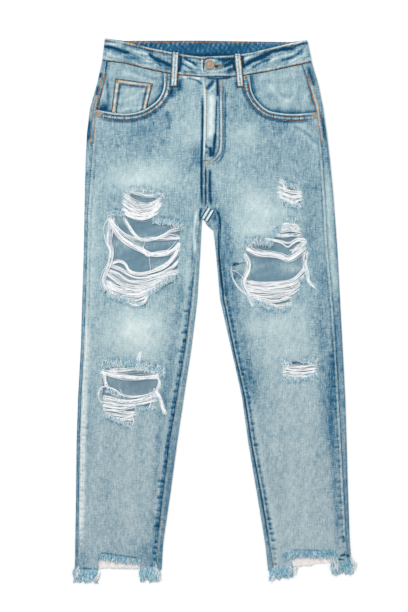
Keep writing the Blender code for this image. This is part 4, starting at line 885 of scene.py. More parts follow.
def seam_creases():
    """The grooves, worn ridges and puckers that run along each seam of the front; the grooves and the broad dark bands
    beside the seams are darkened partly with painted shade.
    """
    beside_side = ((-0.6, 1.1, -0.25, -0.22), (2.2, 1.3, 0.30, 0.20), (5.6, 1.8, -0.15, -0.14))
    felled = {"right": ((-1.3, 1.1, 0.35, 0.38), (1.4, 1.0, -0.30, -0.44)),
              "left": ((-1.7, 1.2, -0.30, -0.46), (0.9, 1.1, 0.35, 0.38))}
    beside_inseam = ((4.6, 3.0, -0.10, -0.20), (11.0, 5.0, 0.20, 0.08))
    beside_pocket = ((1.4, 1.2, 0.35, 0.26), (4.6, 1.3, -0.20, -0.58), (8.2, 1.3, 0.30, 0.20),
                     (11.6, 1.2, -0.2, -0.56), (14.6, 2.2, -0.25, -0.30))
    broad = (
        ("left", "inseam", 300, 670, 13, 11, -0.20),
        ("right", "inseam", 430, 700, 20, 10, -0.12),
        ("right", "inseam", 850, 958, 9, 8, -0.14),
        ("left", "side_seam", 225, 470, -5, 8, 0.20),
        ("left", "side_seam", 480, 760, 25, 12, -0.13),
        ("left", "side_seam", 70, 190, -1.7, 1.5, 0.34),
        ("right", "side_seam", 245, 510, 6, 9, 0.14),
    )
    found = []
    for side in SIDES:
        for inward, *rest in beside_side:
            found.append(Crease(leg_line(side, "side_seam", 132.0, 950.0, inward), *rest))
        for inward, *rest in felled[side] + beside_inseam:
            found.append(Crease(leg_line(side, "inseam", 345.0, 950.0, inward), *rest))
        for inward, *rest in beside_pocket:
            found.append(Crease(pocket_line(side, inward), *rest))
        found.append(Crease(leg_line(side, "side_edge", 90.0, 950.0, 1.2), 1.6, 0.0, -0.10))
    for side, column, start, end, inward, width, tone in broad:
        found.append(Crease(leg_line(side, column, start, end, inward), width, 0.0, tone))
    return found


def roping(side, column, start, end, seed, strength):
    """Short dark marks across the cloth beside a seam, where it puckered in the wash; the darkening in each groove is
    partly painted shade.
    """
    pick = random.Random(seed)
    turn = outward(side) * (1.0 if column == "inseam" else -1.0)
    marks = []
    drop = start
    while drop < end:
        begin = pick.uniform(-0.6, 1.6)
        reach = pick.uniform(6.0, 13.0)
        slope = pick.uniform(-1.0, 2.6)
        x = leg(side, drop, column)
        near_x, far_x = x + turn * begin, x + turn * (begin + reach)
        fade = smooth01((drop - start) / 160.0 + 0.35)
        deep = strength * pick.uniform(0.2, 1.0) * float(fade)
        groove = ((near_x, drop), (far_x, drop + slope))
        ridge = ((near_x + turn * 2.0, drop + 4.0), (far_x, drop + 4.0 + slope))
        marks.append(Crease(groove, pick.uniform(2.0, 3.4), -0.35, -deep))
        marks.append(Crease(ridge, 1.6, 0.35, 0.4 * deep))
        drop += pick.uniform(8.0, 15.0)
    return marks


def puckers(line):
    """Little creases across a stitched edge."""
    step, width, depth, tone = 4.2, 1.2, 0.2, 0.42
    pick = random.Random(7)
    marks = []
    places = even(line, step)
    for a, b in zip(places, places[1:]):
        run = (b - a) / max(float(np.linalg.norm(b - a)), 1e-9)
        across = np.array([-run[1], run[0]])
        place = a + run * pick.uniform(0.0, 0.6) * step
        reach = pick.uniform(2.4, 4.2)
        marks.append(Crease((tuple(place - across * reach), tuple(place + across * reach)), width,
                            -depth * pick.uniform(0.4, 1.0), -tone * pick.uniform(0.3, 1.0)))
    return marks


FRONT_LINES = traced(
    FRONT_CREASES + seam_creases()
    + roping("right", "inseam", 430.0, 955.0, 3, 0.30) + roping("left", "inseam", 440.0, 955.0, 4, 0.24)
    + roping("left", "side_seam", 520.0, 935.0, 5, 0.17) + roping("right", "side_seam", 540.0, 948.0, 6, 0.15)
    # painted shade on the cloth under each rip's fringe
    + [Crease(fringe.points, 0.5 * fringe.reach, 0.0, -0.20) for rows in FRINGES.values() for fringe in rows]
    + [mark for side in SIDES for mark in puckers(pocket_line(side, 8.0))]
)
NARROW_LINES = [crease._replace(rise=1.0, tone=0.0, width=crease.width + 0.9) for crease in FRONT_LINES
                if crease.width < 3.2]
BAND_LINES = traced(BAND_CREASES)
BACK_LINES = traced(BACK_CREASES)
FACING_LINES = traced(FACING_CREASES)


# ---------------------------------------------------------------- surfaces of the laid garment
def level(height):
    """A flat surface, in the form in which the cloth's surfaces are given."""
    return lambda x, drop: np.full(np.shape(x), height)


def back_under(x, drop):
    return layer(drop, "back")


def overlap_rise(x):
    high, low = OVERLAP_RISE
    return np.where(x > OVERLAP_END, (BAND + GAP) * clamp01((high - x) / (high - low)), 0.0)


def front_under(x, drop):
    """Underside of the front panels, a little higher over the zip."""
    fly = clamp01((34.0 - abs(x - FLY_MIDDLE)) / 14.0) * clamp01((255.0 - drop) / 30.0)
    return layer(drop, "front") + 1.2 * fly


def inset(x, drop):
    """How far a place lies inside the outline of its leg."""
    right = x < CENTRE_X
    outer = np.where(right, x - leg("right", drop, "side_edge"), leg("left", drop, "side_edge") - x)
    inner = np.where(right, leg("right", drop, "inner_edge") - x, x - leg("left", drop, "inner_edge"))
    parted = np.where(right, leg("right", drop, "roll"), leg("left", drop, "roll")) > 0.5
    return np.where(parted, np.minimum(outer, inner), outer)


def front_relief(x, drop):
    """Rise and wash of the front's creases, seams and soft undulation; the wash holds the painted shade of their
    troughs.
    """
    rise, tone = creased(x, drop, FRONT_LINES)
    swell = 0.55 * (wander(x, drop, 95.0, 21) + 1.0) + 0.12 * wander(x, drop, 22.0, 22)
    fade = smooth01(inset(x, drop) / 15.0)
    rise = (rise * (0.35 + 0.65 * fade) + swell * fade) * sizes().crease_height
    return np.clip(rise, -0.7, 2.6), tone * sizes().crease_wash_and_shade


def front_top(x, drop):
    return front_under(x, drop) + DENIM + front_relief(x, drop)[0]


def patched(x, drop):
    total = np.zeros(np.broadcast(x, drop).shape)
    for patch in PATCHES:
        total += patch.tone * np.exp(-((x - patch.x) / patch.across) ** 2
                                     - ((drop - patch.drop) / patch.along) ** 2)
    return total


def front_wash_and_shade(x, drop, tone):
    """Depth of the wash on the front, with painted shade from creases, seams and some darker patches added: 0 is
    unworn indigo, 1 is rubbed white.
    """
    mottle = 0.028 * wander(x, drop, 40.0, 31) + 0.030 * wander(x, drop, 11.0, 32)
    return BASE_WASH["front"] + patched(x, drop) + mottle + tone


def band_relief(x, drop):
    rise, tone = creased(x, drop, BAND_LINES)
    rise += 0.16 * wander(x, drop, 14.0, 41)
    return rise * sizes().crease_height, tone * sizes().crease_wash_and_shade


def band_top(x, drop):
    return BAND_Z + BAND + overlap_rise(x) + band_relief(x, drop)[0]


def pocket_opening(side):
    """Outline of the hip cloth that shows above the free edge of a front pocket."""
    line = pocket_line(side)
    turn = outward(side)
    corner = line[-1][0] + turn * 30.0
    return np.vstack([line, [(corner, line[-1][1]), (corner, 30.0), (line[0][0], 30.0)]])


def facing_top(side, x, drop):
    """Upper face of the pocket facing, pressed flat where the front panel covers it."""
    x, drop = np.broadcast_arrays(np.asarray(x, float), np.asarray(drop, float))
    flat_x, flat_drop = x.ravel(), drop.ravel()
    places = np.column_stack([flat_x, flat_drop])
    near, _ = from_line(flat_x, flat_drop, pocket_line(side))
    shows = (within(places, pocket_opening(side)) * smooth01(near / 6.0)).reshape(x.shape)
    rise = creased(x, drop, FACING_LINES)[0] + 0.35 * (wander(x, drop, 30.0, 51) + 1.0)
    return front_under(x, drop) - GAP + shows * np.clip(rise, -0.3, 1.2)


# ---------------------------------------------------------------- meshes
def shares(rows, columns, low=0.0):
    """Shares down (0 to 1) and across (low to 1) a grid of places."""
    return np.meshgrid(np.linspace(0.0, 1.0, rows), np.linspace(low, 1.0, columns), indexing="ij")


def point(x, drop, z):
    """Metres from garment millimetres, for arrays of places."""
    x, drop, z = np.broadcast_arrays(x, drop, z)
    return np.stack([x, LENGTH / 2 - drop, z], axis=-1) * MM


def new_piece(name, vertices, faces, finish, marks=None, angle=38.0):
    """A finished mesh object at the origin; marks are named values at its points."""
    mesh = bpy.data.meshes.new(name)
    vertices = np.asarray(vertices, float).reshape(-1, 3)
    if signed_volume(vertices, faces) < 0.0:
        faces = [tuple(reversed(face)) for face in faces]
    mesh.from_pydata(vertices.tolist(), [], [tuple(int(i) for i in face) for face in faces])
    for key, values in (marks or {}).items():
        data = mesh.attributes.new(key, "FLOAT", "POINT").data
        data.foreach_set("value", np.ravel(values).astype(np.float32))
    mesh.shade_smooth()
    mesh.set_sharp_from_angle(angle=math.radians(angle))
    made = bpy.data.objects.new(name, mesh)
    made.data.materials.append(finish)
    bpy.context.scene.collection.objects.link(made)
    return made


def signed_volume(vertices, faces):
    total = 0.0
    for count in {len(face) for face in faces}:
        group = np.array([face for face in faces if len(face) == count])
        for k in range(1, count - 1):
            a, b, c = vertices[group[:, 0]], vertices[group[:, k]], vertices[group[:, k + 1]]
            total += float(np.einsum("ij,ij->i", a, np.cross(b, c)).sum())
    return total / 6.0


def wall(name, outside, inside, finish, marks):
    """One closed thin piece between two equal grids of points."""
    rows, columns = outside.shape[:2]
    index = np.arange(rows * columns).reshape(rows, columns)
    a, b, c, d = index[:-1, :-1], index[:-1, 1:], index[1:, 1:], index[1:, :-1]
    outer = np.stack([a, b, c, d], axis=-1).reshape(-1, 4)
    under = rows * columns
    faces = np.vstack([outer, outer[:, ::-1] + under])
    rim = []
    for start, end in ((index[0, :-1], index[0, 1:]), (index[-1, 1:], index[-1, :-1]),
                       (index[:-1, -1], index[1:, -1]), (index[1:, 0], index[:-1, 0])):
        rim.append(np.stack([end, start, start + under, end + under], axis=-1))
    faces = np.vstack([faces] + rim)
    vertices = np.vstack([outside.reshape(-1, 3), inside.reshape(-1, 3)])
    return new_piece(name, vertices, faces.tolist(), finish, marks)


def lattice(low, high, step):
    """Triangular grid of places over a box."""
    rows = np.arange(low[1] + 0.43 * step, high[1], step * math.sqrt(3.0) / 2.0)
    x, drop = np.meshgrid(np.arange(low[0] + 0.25 * step, high[0], step), rows)
    x = x + 0.5 * step * (np.arange(len(rows)) % 2)[:, None]
    return np.column_stack([x.ravel(), drop.ravel()])


def flat_mesh(outline, holes, step, detailed=None):
    """Places and upward triangles over an outline with holes, twice as fine where detailed says so."""
    loops = [outline] + holes
    border = np.vstack(loops)
    low, high = border.min(axis=0), border.max(axis=0)
    grid = lattice(low, high, step)
    if detailed:
        fine = lattice(low, high, 0.5 * step)
        grid = np.vstack([grid[~detailed(*grid.T)], fine[detailed(*fine.T)]])
    keep = within(grid, outline)
    for hole in holes:
        keep &= ~within(grid, hole)
    grid = grid[keep]
    tree = kdtree.KDTree(len(border))
    for i, spot in enumerate(border):
        tree.insert((spot[0], spot[1], 0.0), i)
    tree.balance()
    clear = [tree.find((x, y, 0.0))[2] > 0.55 * step for x, y in grid]
    grid = grid[np.array(clear)]
    edges = []
    start = 0
    for loop in loops:
        count = len(loop)
        edges += [(start + i, start + (i + 1) % count) for i in range(count)]
        start += count
    places = np.vstack([border, grid])
    found = geometry.delaunay_2d_cdt(places.tolist(), edges, [], 1, 1e-5)
    places = np.array([tuple(p) for p in found[0]])
    faces = np.array([face for face in found[2] if len(face) == 3])
    middle = places[faces].mean(axis=1)
    keep = within(middle, outline)
    for hole in holes:
        keep &= ~within(middle, hole)
    faces = faces[keep]
    a, b, c = places[faces[:, 0]], places[faces[:, 1]], places[faces[:, 2]]
    turn = (b[:, 0] - a[:, 0]) * (c[:, 1] - a[:, 1]) - (b[:, 1] - a[:, 1]) * (c[:, 0] - a[:, 0])
    faces = np.where((turn > 0.0)[:, None], faces[:, ::-1], faces)
    used = np.unique(faces)
    renumber = np.full(len(places), -1)
    renumber[used] = np.arange(len(used))
    return places[used], renumber[faces]


def border_edges(faces):
    """Directed edges that only one triangle uses."""
    edges = np.vstack([faces[:, [0, 1]], faces[:, [1, 2]], faces[:, [2, 0]]])
    seen = {tuple(e) for e in edges.tolist()}
    return np.array([e for e in edges.tolist() if (e[1], e[0]) not in seen])


def shell(name, upper, under, high, low, finish, marks):
    """A closed thin piece between two flat meshes with one border, its rim rounded a little."""
    (places, faces), (places_under, faces_under) = upper, under
    border = border_edges(faces)
    rim, rim_under = np.unique(border), np.unique(border_edges(faces_under))
    key = {tuple(np.round(places_under[i], 3)): i for i in rim_under}
    below = {i: key.get(tuple(np.round(places[i], 3))) for i in rim}
    if None in below.values() or len(rim) != len(rim_under):
        raise RuntimeError(f"{name}: the two sides have different borders")
    high, low = high.copy(), low.copy()
    high[rim] -= 0.22
    low[rim_under] += 0.22
    count = len(places)
    vertices = np.vstack([point(*places.T, high), point(*places_under.T, low)])
    sides = [(b, a, below[a] + count, below[b] + count) for a, b in border.tolist()]
    all_faces = faces.tolist() + (faces_under[:, ::-1] + count).tolist() + sides
    return new_piece(name, vertices, all_faces, finish, marks)


def turned(name, x, drop, profile, finish, sides=48):
    """A turned piece from (radius, height) pairs, closed at its foot and crown."""
    angles = np.arange(sides) * 2.0 * math.pi / sides
    rings = [point(x + r * np.cos(angles), drop + r * np.sin(angles), z) for r, z in profile]
    foot = point(x, drop, profile[0][1])[None]
    crown = point(x, drop, profile[-1][1])[None]
    vertices = np.vstack(rings + [foot, crown])
    faces = []
    for k in range(len(rings) - 1):
        for i in range(sides):
            j = (i + 1) % sides
            faces.append((k * sides + i, k * sides + j, (k + 1) * sides + j, (k + 1) * sides + i))
    last = (len(rings) - 1) * sides
    for i in range(sides):
        j = (i + 1) % sides
        faces.append((j, i, len(vertices) - 2))
        faces.append((last + i, last + j, len(vertices) - 1))
    return new_piece(name, vertices, faces, finish, angle=50.0)


# ---------------------------------------------------------------- shader node groups
class Nodes:
    """Short calls for filling a node tree."""

    def __init__(self, tree):
        self.tree = tree

    def add(self, kind, settings=None, **inputs):
        node = self.tree.nodes.new(kind)
        for key, value in (settings or {}).items():
            setattr(node, key, value)
        for key, value in inputs.items():
            self.put(node.inputs[int(key[1:])], value)
        return node

    def out(self, kind, settings=None, **inputs):
        """The first output of a new node."""
        return self.add(kind, settings, **inputs).outputs[0]

    def put(self, socket, value):
        if isinstance(value, bpy.types.NodeSocket):
            self.tree.links.new(value, socket)
        else:
            socket.default_value = value

    def math(self, operation, a, b=0.0, clamp=False):
        return self.out("ShaderNodeMath", {"operation": operation, "use_clamp": clamp}, i0=a, i1=b)

    def plus(self, a, b, clamp=False):
        return self.math("ADD", a, b, clamp)

    def minus(self, a, b, clamp=False):
        return self.math("SUBTRACT", a, b, clamp)

    def times(self, a, b):
        return self.math("MULTIPLY", a, b)

    def attribute(self, name):
        return self.add("ShaderNodeAttribute", {"attribute_name": name}).outputs["Fac"]

    def noise(self, place, stretch, detail=2.0, roughness=0.55):
        """Noise over metres, with its repeats per metre along each axis."""
        mapped = self.out("ShaderNodeVectorMath", {"operation": "MULTIPLY"}, i0=place, i1=stretch)
        node = self.add("ShaderNodeTexNoise")
        self.put(node.inputs["Vector"], mapped)
        self.put(node.inputs["Scale"], 1.0)
        self.put(node.inputs["Detail"], detail)
        self.put(node.inputs["Roughness"], roughness)
        return node.outputs["Fac"]

    def ramp(self, value, stops):
        node = self.add("ShaderNodeValToRGB", i0=value)
        ramp = node.color_ramp
        while len(ramp.elements) < len(stops):
            ramp.elements.new(0.5)
        for element, (at, colour) in zip(ramp.elements, stops):
            element.position = at
            element.color = (*colour, 1.0)
        return node.outputs[0]


def new_group(name, kind, inputs, outputs):
    """An empty node group with named sockets, and its input and output nodes."""
    tree = bpy.data.node_groups.new(name, kind)
    for title, socket, default in inputs:
        made = tree.interface.new_socket(title, in_out="INPUT", socket_type=socket)
        if default is not None:
            made.default_value = default
    for title, socket in outputs:
        tree.interface.new_socket(title, in_out="OUTPUT", socket_type=socket)
    return tree, tree.nodes.new("NodeGroupInput"), tree.nodes.new("NodeGroupOutput")


def once(name):
    """Finds a node group by its name, or has it made."""
    def wrap(make):
        return lambda: bpy.data.node_groups.get(name) or make(name)
    return wrap


@once("denim weave")
def weave_group(name):
    """Twill weave: thread relief, slubs along both threads and salt-and-pepper flecks."""
    tree, start, end = new_group(
        name, "ShaderNodeTree",
        (("Place", "NodeSocketVector", None), ("Thread", "NodeSocketFloat", 0.00055)),
        (("Height", "NodeSocketFloat"), ("Slub", "NodeSocketFloat"), ("Fleck", "NodeSocketFloat")))
    nodes = Nodes(tree)
    place, thread = start.outputs["Place"], start.outputs["Thread"]
    split = nodes.add("ShaderNodeSeparateXYZ", i0=place)
    turn = nodes.math("DIVIDE", 2.0 * math.pi, thread)
    warp = nodes.math("SINE", nodes.times(split.outputs[0], turn))
    diagonal = nodes.plus(split.outputs[0], split.outputs[1])
    twill = nodes.math("SINE", nodes.times(diagonal, nodes.times(turn, 0.5)))
    fleck = nodes.noise(place, (900.0, 700.0, 700.0), 1.0)
    height = nodes.plus(nodes.times(warp, 0.2), nodes.times(twill, 0.3))
    nodes.put(end.inputs["Height"], nodes.plus(height, fleck))
    down = nodes.noise(place, (470.0, 64.0, 40.0), 2.0, 0.6)
    across = nodes.noise(place, (80.0, 560.0, 40.0), 2.0, 0.6)
    cloudy = nodes.noise(place, (120.0, 110.0, 60.0), 4.0, 0.7)
    slub = nodes.plus(nodes.times(down, 0.46), nodes.times(across, 0.34))
    nodes.put(end.inputs["Slub"], nodes.plus(slub, nodes.times(cloudy, 0.20)))
    nodes.put(end.inputs["Fleck"], fleck)
    return tree


@once("cotton fuzz")
def fuzz_group(name):
    """Soft unevenness of raw cotton threads."""
    tree, start, end = new_group(
        name, "ShaderNodeTree", (("Place", "NodeSocketVector", None),),
        (("Height", "NodeSocketFloat"), ("Mottle", "NodeSocketFloat")))
    nodes = Nodes(tree)
    nodes.put(end.inputs["Height"], nodes.noise(start.outputs[0], (2600.0, 2600.0, 2600.0), 2.0))
    nodes.put(end.inputs["Mottle"], nodes.noise(start.outputs[0], (260.0, 260.0, 260.0), 3.0))
    return tree


# ---------------------------------------------------------------- materials
def new_material(name, roughness, metallic=0.0, sheen=0.0):
    made = bpy.data.materials.new(name)
    made.use_nodes = True
    shader = made.node_tree.nodes["Principled BSDF"]
    shader.inputs["Roughness"].default_value = roughness
    shader.inputs["Metallic"].default_value = metallic
    shader.inputs["Sheen Weight"].default_value = sheen
    shader.inputs["Specular IOR Level"].default_value = 0.5 if metallic else 0.15
    nodes = Nodes(made.node_tree)
    place = nodes.add("ShaderNodeTexCoord").outputs["Object"]
    return made, nodes, shader, place


def place_group(nodes, tree, place):
    node = nodes.add("ShaderNodeGroup", {"node_tree": tree})
    nodes.put(node.inputs["Place"], place)
    return node


def add_bump(nodes, shader, height, strength, distance):
    bump = nodes.add("ShaderNodeBump")
    nodes.put(bump.inputs["Strength"], strength)
    nodes.put(bump.inputs["Distance"], distance)
    nodes.put(bump.inputs["Height"], height)
    nodes.put(shader.inputs["Normal"], bump.outputs[0])


DENIMS = {              # colours of the wrong side, and the shares of slubs and flecks
    "washed denim": (((0.0, "inside_deep"), (0.55, "inside"), (1.0, "faded")), 1.0, 0.55),
    "waistband denim": (((0.0, "indigo"), (0.5, "band_inside"), (1.0, "wash")), 1.0, 0.55),
    "facing denim": (((0.0, "inside_deep"), (0.45, "inside"), (1.0, "faded")), 0.8, 0.5),
}
COTTONS = {             # colours from shade 0 to 1, and roughness
    "bared threads": (((0.0, "thread_shade"), (0.6, "thread"), (1.0, "thread")), 0.95),
    "raw fringe": (((0.0, "fringe_deep"), (0.45, "fringe"), (0.8, "worn"), (1.0, "thread")), 0.95),
    "pale stitching": (((0.0, "old_stitch"), (0.45, "wash"), (1.0, "faded")), 0.7),
    "rust stitching": (((0.0, "orange"), (0.2, "orange"), (0.45, "rust"), (0.75, "rust"),
                        (1.0, "old_stitch")), 0.7),
    "worn stitching": (((0.0, "rust"), (0.35, "old_stitch"), (0.85, "old_stitch"), (1.0, "faded")), 0.7),
}


def tinted(stops):
    """Ramp stops with the names of their colours replaced by the colours."""
    return [(at, getattr(colours(), name)) for at, name in stops]


def denim(name):
    """Washed denim: the point value wash picks its blue, inside its wrong side and raw its torn hem; wash and
    inner_wash carry painted shade as well as the fade.
    """
    if name in bpy.data.materials:
        return bpy.data.materials[name]
    inside_stops, slub_share, fleck_share = DENIMS[name]
    made, nodes, shader, place = new_material(name, 0.9, sheen=0.06)
    weave = place_group(nodes, weave_group(), place)
    nodes.put(weave.inputs["Thread"], sizes().weave)
    slub = nodes.times(nodes.minus(weave.outputs["Slub"], 0.5), slub_share)
    fleck = nodes.times(nodes.minus(weave.outputs["Fleck"], 0.5), fleck_share)
    grain = nodes.plus(slub, fleck)
    worn_off = nodes.minus(2.75, nodes.times(nodes.attribute("wash"), 2.6))
    worn_off = nodes.math("MAXIMUM", worn_off, 0.3)
    down = nodes.add("ShaderNodeSeparateXYZ", i0=place).outputs[1]
    lower = nodes.plus(nodes.times(down, -2.9), 0.15, clamp=True)
    shown = nodes.times(grain, nodes.math("MINIMUM", worn_off, 1.45))
    shown = nodes.times(shown, nodes.minus(1.0, nodes.times(lower, 0.26)))
    wash = nodes.plus(nodes.attribute("wash"), shown, clamp=True)
    right = nodes.ramp(wash, tinted(((0.0, "indigo"), (0.28, "deep"), (0.58, "wash"), (0.85, "faded"),
                                     (1.0, "worn"))))
    wrong = nodes.ramp(nodes.plus(nodes.attribute("inner_wash"), grain, clamp=True), tinted(inside_stops))
    mixed = nodes.add("ShaderNodeMix", {"data_type": "RGBA"}, i0=nodes.attribute("inside"), i6=right,
                      i7=wrong)
    torn = nodes.ramp(nodes.plus(0.55, nodes.times(grain, 0.4)),
                      tinted(((0.0, "faded"), (0.4, "raw"), (1.0, "raw"))))
    bare = nodes.add("ShaderNodeMix", {"data_type": "RGBA"}, i0=nodes.attribute("raw"), i6=mixed.outputs[2],
                     i7=torn)
    pale = nodes.minus(nodes.times(wash, 2.6), 0.75, clamp=True)
    dull = nodes.times(nodes.times(lower, 0.3), pale)
    washed = nodes.add("ShaderNodeHueSaturation", i1=nodes.minus(1.0, dull), i2=1.0, i4=bare.outputs[2])
    nodes.put(shader.inputs["Base Color"], washed.outputs[0])
    add_bump(nodes, shader, weave.outputs["Height"], 0.35, 0.00018)
    return made


def cotton(name):
    """Threads: the point value shade picks a colour between the stops."""
    if name in bpy.data.materials:
        return bpy.data.materials[name]
    stops, roughness = COTTONS[name]
    made, nodes, shader, place = new_material(name, roughness, sheen=0.1)
    fuzz = place_group(nodes, fuzz_group(), place)
    mottle = nodes.times(nodes.minus(fuzz.outputs["Mottle"], 0.5), 0.5)
    shade = nodes.plus(nodes.attribute("shade"), mottle, clamp=True)
    nodes.put(shader.inputs["Base Color"], nodes.ramp(shade, tinted(stops)))
    add_bump(nodes, shader, fuzz.outputs["Height"], 0.4, 0.0002)
    return made


def copper():
    if "aged copper" in bpy.data.materials:
        return bpy.data.materials["aged copper"]
    made, nodes, shader, place = new_material("aged copper", 0.6, metallic=0.35)
    film = nodes.noise(place, (900.0, 900.0, 900.0), 4.0, 0.6)
    tints = tinted(((0.25, "tarnish"), (0.5, "copper"), (1.0, "copper")))
    nodes.put(shader.inputs["Base Color"], nodes.ramp(film, tints))
    nodes.put(shader.inputs["Roughness"], nodes.plus(0.45, nodes.times(film, 0.25)))
    add_bump(nodes, shader, film, 0.2, 0.0001)
    return made


def tape_finish():
    if "zip tape" in bpy.data.materials:
        return bpy.data.materials["zip tape"]
    made, nodes, shader, place = new_material("zip tape", 0.85)
    weave = place_group(nodes, weave_group(), place)
    tints = tinted(((0.2, "tape"), (1.0, "deep")))
    nodes.put(shader.inputs["Base Color"], nodes.ramp(weave.outputs["Slub"], tints))
    add_bump(nodes, shader, weave.outputs["Height"], 0.3, 0.0002)
    return made


# ---------------------------------------------------------------- geometry node trees
def lines_of(nodes, start, spacing=None):
    """The curve that a tree's guide lines become, resampled where a spacing is given."""
    curve = nodes.out("GeometryNodeMeshToCurve", i0=start.outputs["Lines"])
    if spacing is None:
        return curve
    return nodes.out("GeometryNodeResampleCurve", {"mode": "LENGTH"}, i0=curve, i3=spacing)


def close_tree(nodes, end, shape, finish):
    smooth = nodes.out("GeometryNodeSetShadeSmooth", i0=shape)
    real = nodes.out("GeometryNodeRealizeInstances", i0=smooth)
    nodes.put(end.inputs[0], nodes.out("GeometryNodeSetMaterial", i0=real, i2=finish))


def random_value(nodes, low, high, seed):
    return nodes.add("FunctionNodeRandomValue", i2=low, i3=high, i8=seed).outputs[1]


@once("yarns along lines")
def yarn_tree(name):
    """A round yarn along every guide line, as thick as the line's value thick says."""
    tree, start, end = new_group(
        name, "GeometryNodeTree",
        (("Lines", "NodeSocketGeometry", None), ("Sides", "NodeSocketInt", 5),
         ("Finish", "NodeSocketMaterial", None)), (("Yarns", "NodeSocketGeometry"),))
    nodes = Nodes(tree)
    ring = nodes.out("GeometryNodeCurvePrimitiveCircle", i0=start.outputs["Sides"], i4=0.5)
    thick = nodes.out("GeometryNodeInputNamedAttribute", i0="thick")
    tube = nodes.add("GeometryNodeCurveToMesh", i0=lines_of(nodes, start), i1=ring, i2=thick, i3=True)
    close_tree(nodes, end, tube.outputs[0], start.outputs["Finish"])
    return tree


@once("stitches along lines")
def stitch_tree(name):
    """Plump stitches laid end to end along every guide line."""
    tree, start, end = new_group(
        name, "GeometryNodeTree",
        (("Lines", "NodeSocketGeometry", None), ("Stitch", "NodeSocketFloat", 0.0028),
         ("Gap", "NodeSocketFloat", 0.0009), ("Thread", "NodeSocketFloat", 0.0009),
         ("Seed", "NodeSocketInt", 0), ("Finish", "NodeSocketMaterial", None)),
        (("Stitches", "NodeSocketGeometry"),))
    nodes = Nodes(tree)
    pitch = nodes.plus(start.outputs["Stitch"], start.outputs["Gap"])
    curve = lines_of(nodes, start, pitch)
    ball = nodes.out("GeometryNodeMeshUVSphere", i0=6, i1=4, i2=0.5)
    size = nodes.out("ShaderNodeCombineXYZ", i0=start.outputs["Stitch"], i1=start.outputs["Thread"],
                     i2=nodes.times(start.outputs["Thread"], 0.8))
    shape = nodes.out("GeometryNodeTransform", i0=ball, i3=size)
    tangent = nodes.out("GeometryNodeInputTangent")
    turn = nodes.out("FunctionNodeAlignRotationToVector", {"axis": "X"}, i2=tangent)
    reach = nodes.out("ShaderNodeCombineXYZ", i0=random_value(nodes, 0.85, 1.12, start.outputs["Seed"]),
                      i1=1.0, i2=1.0)
    placed = nodes.out("GeometryNodeInstanceOnPoints", i0=curve, i2=shape, i5=turn, i6=reach)
    shade = random_value(nodes, 0.0, 1.0, nodes.plus(start.outputs["Seed"], 7.0))
    stored = nodes.out("GeometryNodeStoreNamedAttribute", {"domain": "INSTANCE"}, i0=placed, i2="shade",
                       i3=shade)
    close_tree(nodes, end, stored, start.outputs["Finish"])
    return tree


@once("fringe along lines")
def fringe_tree(name):
    """Broken warp ends standing out of every guide line along its value out, reach long."""
    tree, start, end = new_group(
        name, "GeometryNodeTree",
        (("Lines", "NodeSocketGeometry", None), ("Spacing", "NodeSocketFloat", 0.0006),
         ("Yarn", "NodeSocketFloat", 0.0005), ("Spread", "NodeSocketFloat", 0.45),
         ("Seed", "NodeSocketInt", 0), ("Finish", "NodeSocketMaterial", None)),
        (("Fringe", "NodeSocketGeometry"),))
    nodes = Nodes(tree)
    seed = start.outputs["Seed"]
    out = nodes.out("GeometryNodeInputNamedAttribute", {"data_type": "FLOAT_VECTOR"}, i0="out")
    reach = nodes.out("GeometryNodeInputNamedAttribute", i0="reach")
    curve = lines_of(nodes, start, start.outputs["Spacing"])
    shift = nodes.times(reach, random_value(nodes, -0.5, 0.25, seed))
    step = nodes.out("ShaderNodeVectorMath", {"operation": "SCALE"}, i0=out, i3=shift)
    roots = nodes.out("GeometryNodeSetPosition", i0=curve, i3=step)
    spine = nodes.out("GeometryNodeCurvePrimitiveLine", i0=(0.0, 0.0, 0.0), i1=(1.0, 0.0, 0.0))
    spine = nodes.out("GeometryNodeResampleCurve", i0=spine, i2=5)
    factor_along = nodes.out("GeometryNodeSplineParameter")
    bow = nodes.times(nodes.math("SINE", nodes.times(factor_along, 4.4)), 1.1)
    bend = nodes.out("ShaderNodeCombineXYZ", i0=0.0, i1=bow, i2=0.0)
    spine = nodes.out("GeometryNodeSetPosition", i0=spine, i3=bend)
    ring = nodes.out("GeometryNodeCurvePrimitiveCircle", i0=3, i4=0.5)
    thick = nodes.minus(1.0, nodes.times(factor_along, 0.55))
    yarn = nodes.out("GeometryNodeCurveToMesh", i0=spine, i1=ring, i2=thick, i3=True)
    facing = nodes.out("FunctionNodeAlignRotationToVector", {"axis": "X"}, i2=out)
    for axis, low, high, number in (((0.0, 0.0, 1.0), -1.0, 1.0, 11), ((0.0, 1.0, 0.0), -0.12, 0.0, 12),
                                    ((1.0, 0.0, 0.0), -0.6, 3.7, 13)):
        angle = random_value(nodes, low, high, nodes.plus(seed, float(number)))
        if axis[2]:
            angle = nodes.times(angle, start.outputs["Spread"])
        by = nodes.out("FunctionNodeAxisAngleToRotation", i0=axis, i1=angle)
        facing = nodes.add("FunctionNodeRotateRotation", {"rotation_space": "LOCAL"}, i0=facing, i1=by)
        facing = facing.outputs[0]
    grown_to = nodes.times(reach, random_value(nodes, 0.5, 1.05, nodes.plus(seed, 14.0)))
    yarn_size = start.outputs["Yarn"]
    size = nodes.out("ShaderNodeCombineXYZ", i0=grown_to, i1=yarn_size, i2=yarn_size)
    placed = nodes.out("GeometryNodeInstanceOnPoints", i0=roots, i2=yarn, i5=facing, i6=size)
    tone = nodes.out("GeometryNodeInputNamedAttribute", i0="tone")
    shade = nodes.plus(tone, random_value(nodes, -0.42, 0.46, nodes.plus(seed, 15.0)))
    stored = nodes.out("GeometryNodeStoreNamedAttribute", {"domain": "INSTANCE"}, i0=placed, i2="shade",
                       i3=shade)
    close_tree(nodes, end, stored, start.outputs["Finish"])
    return tree


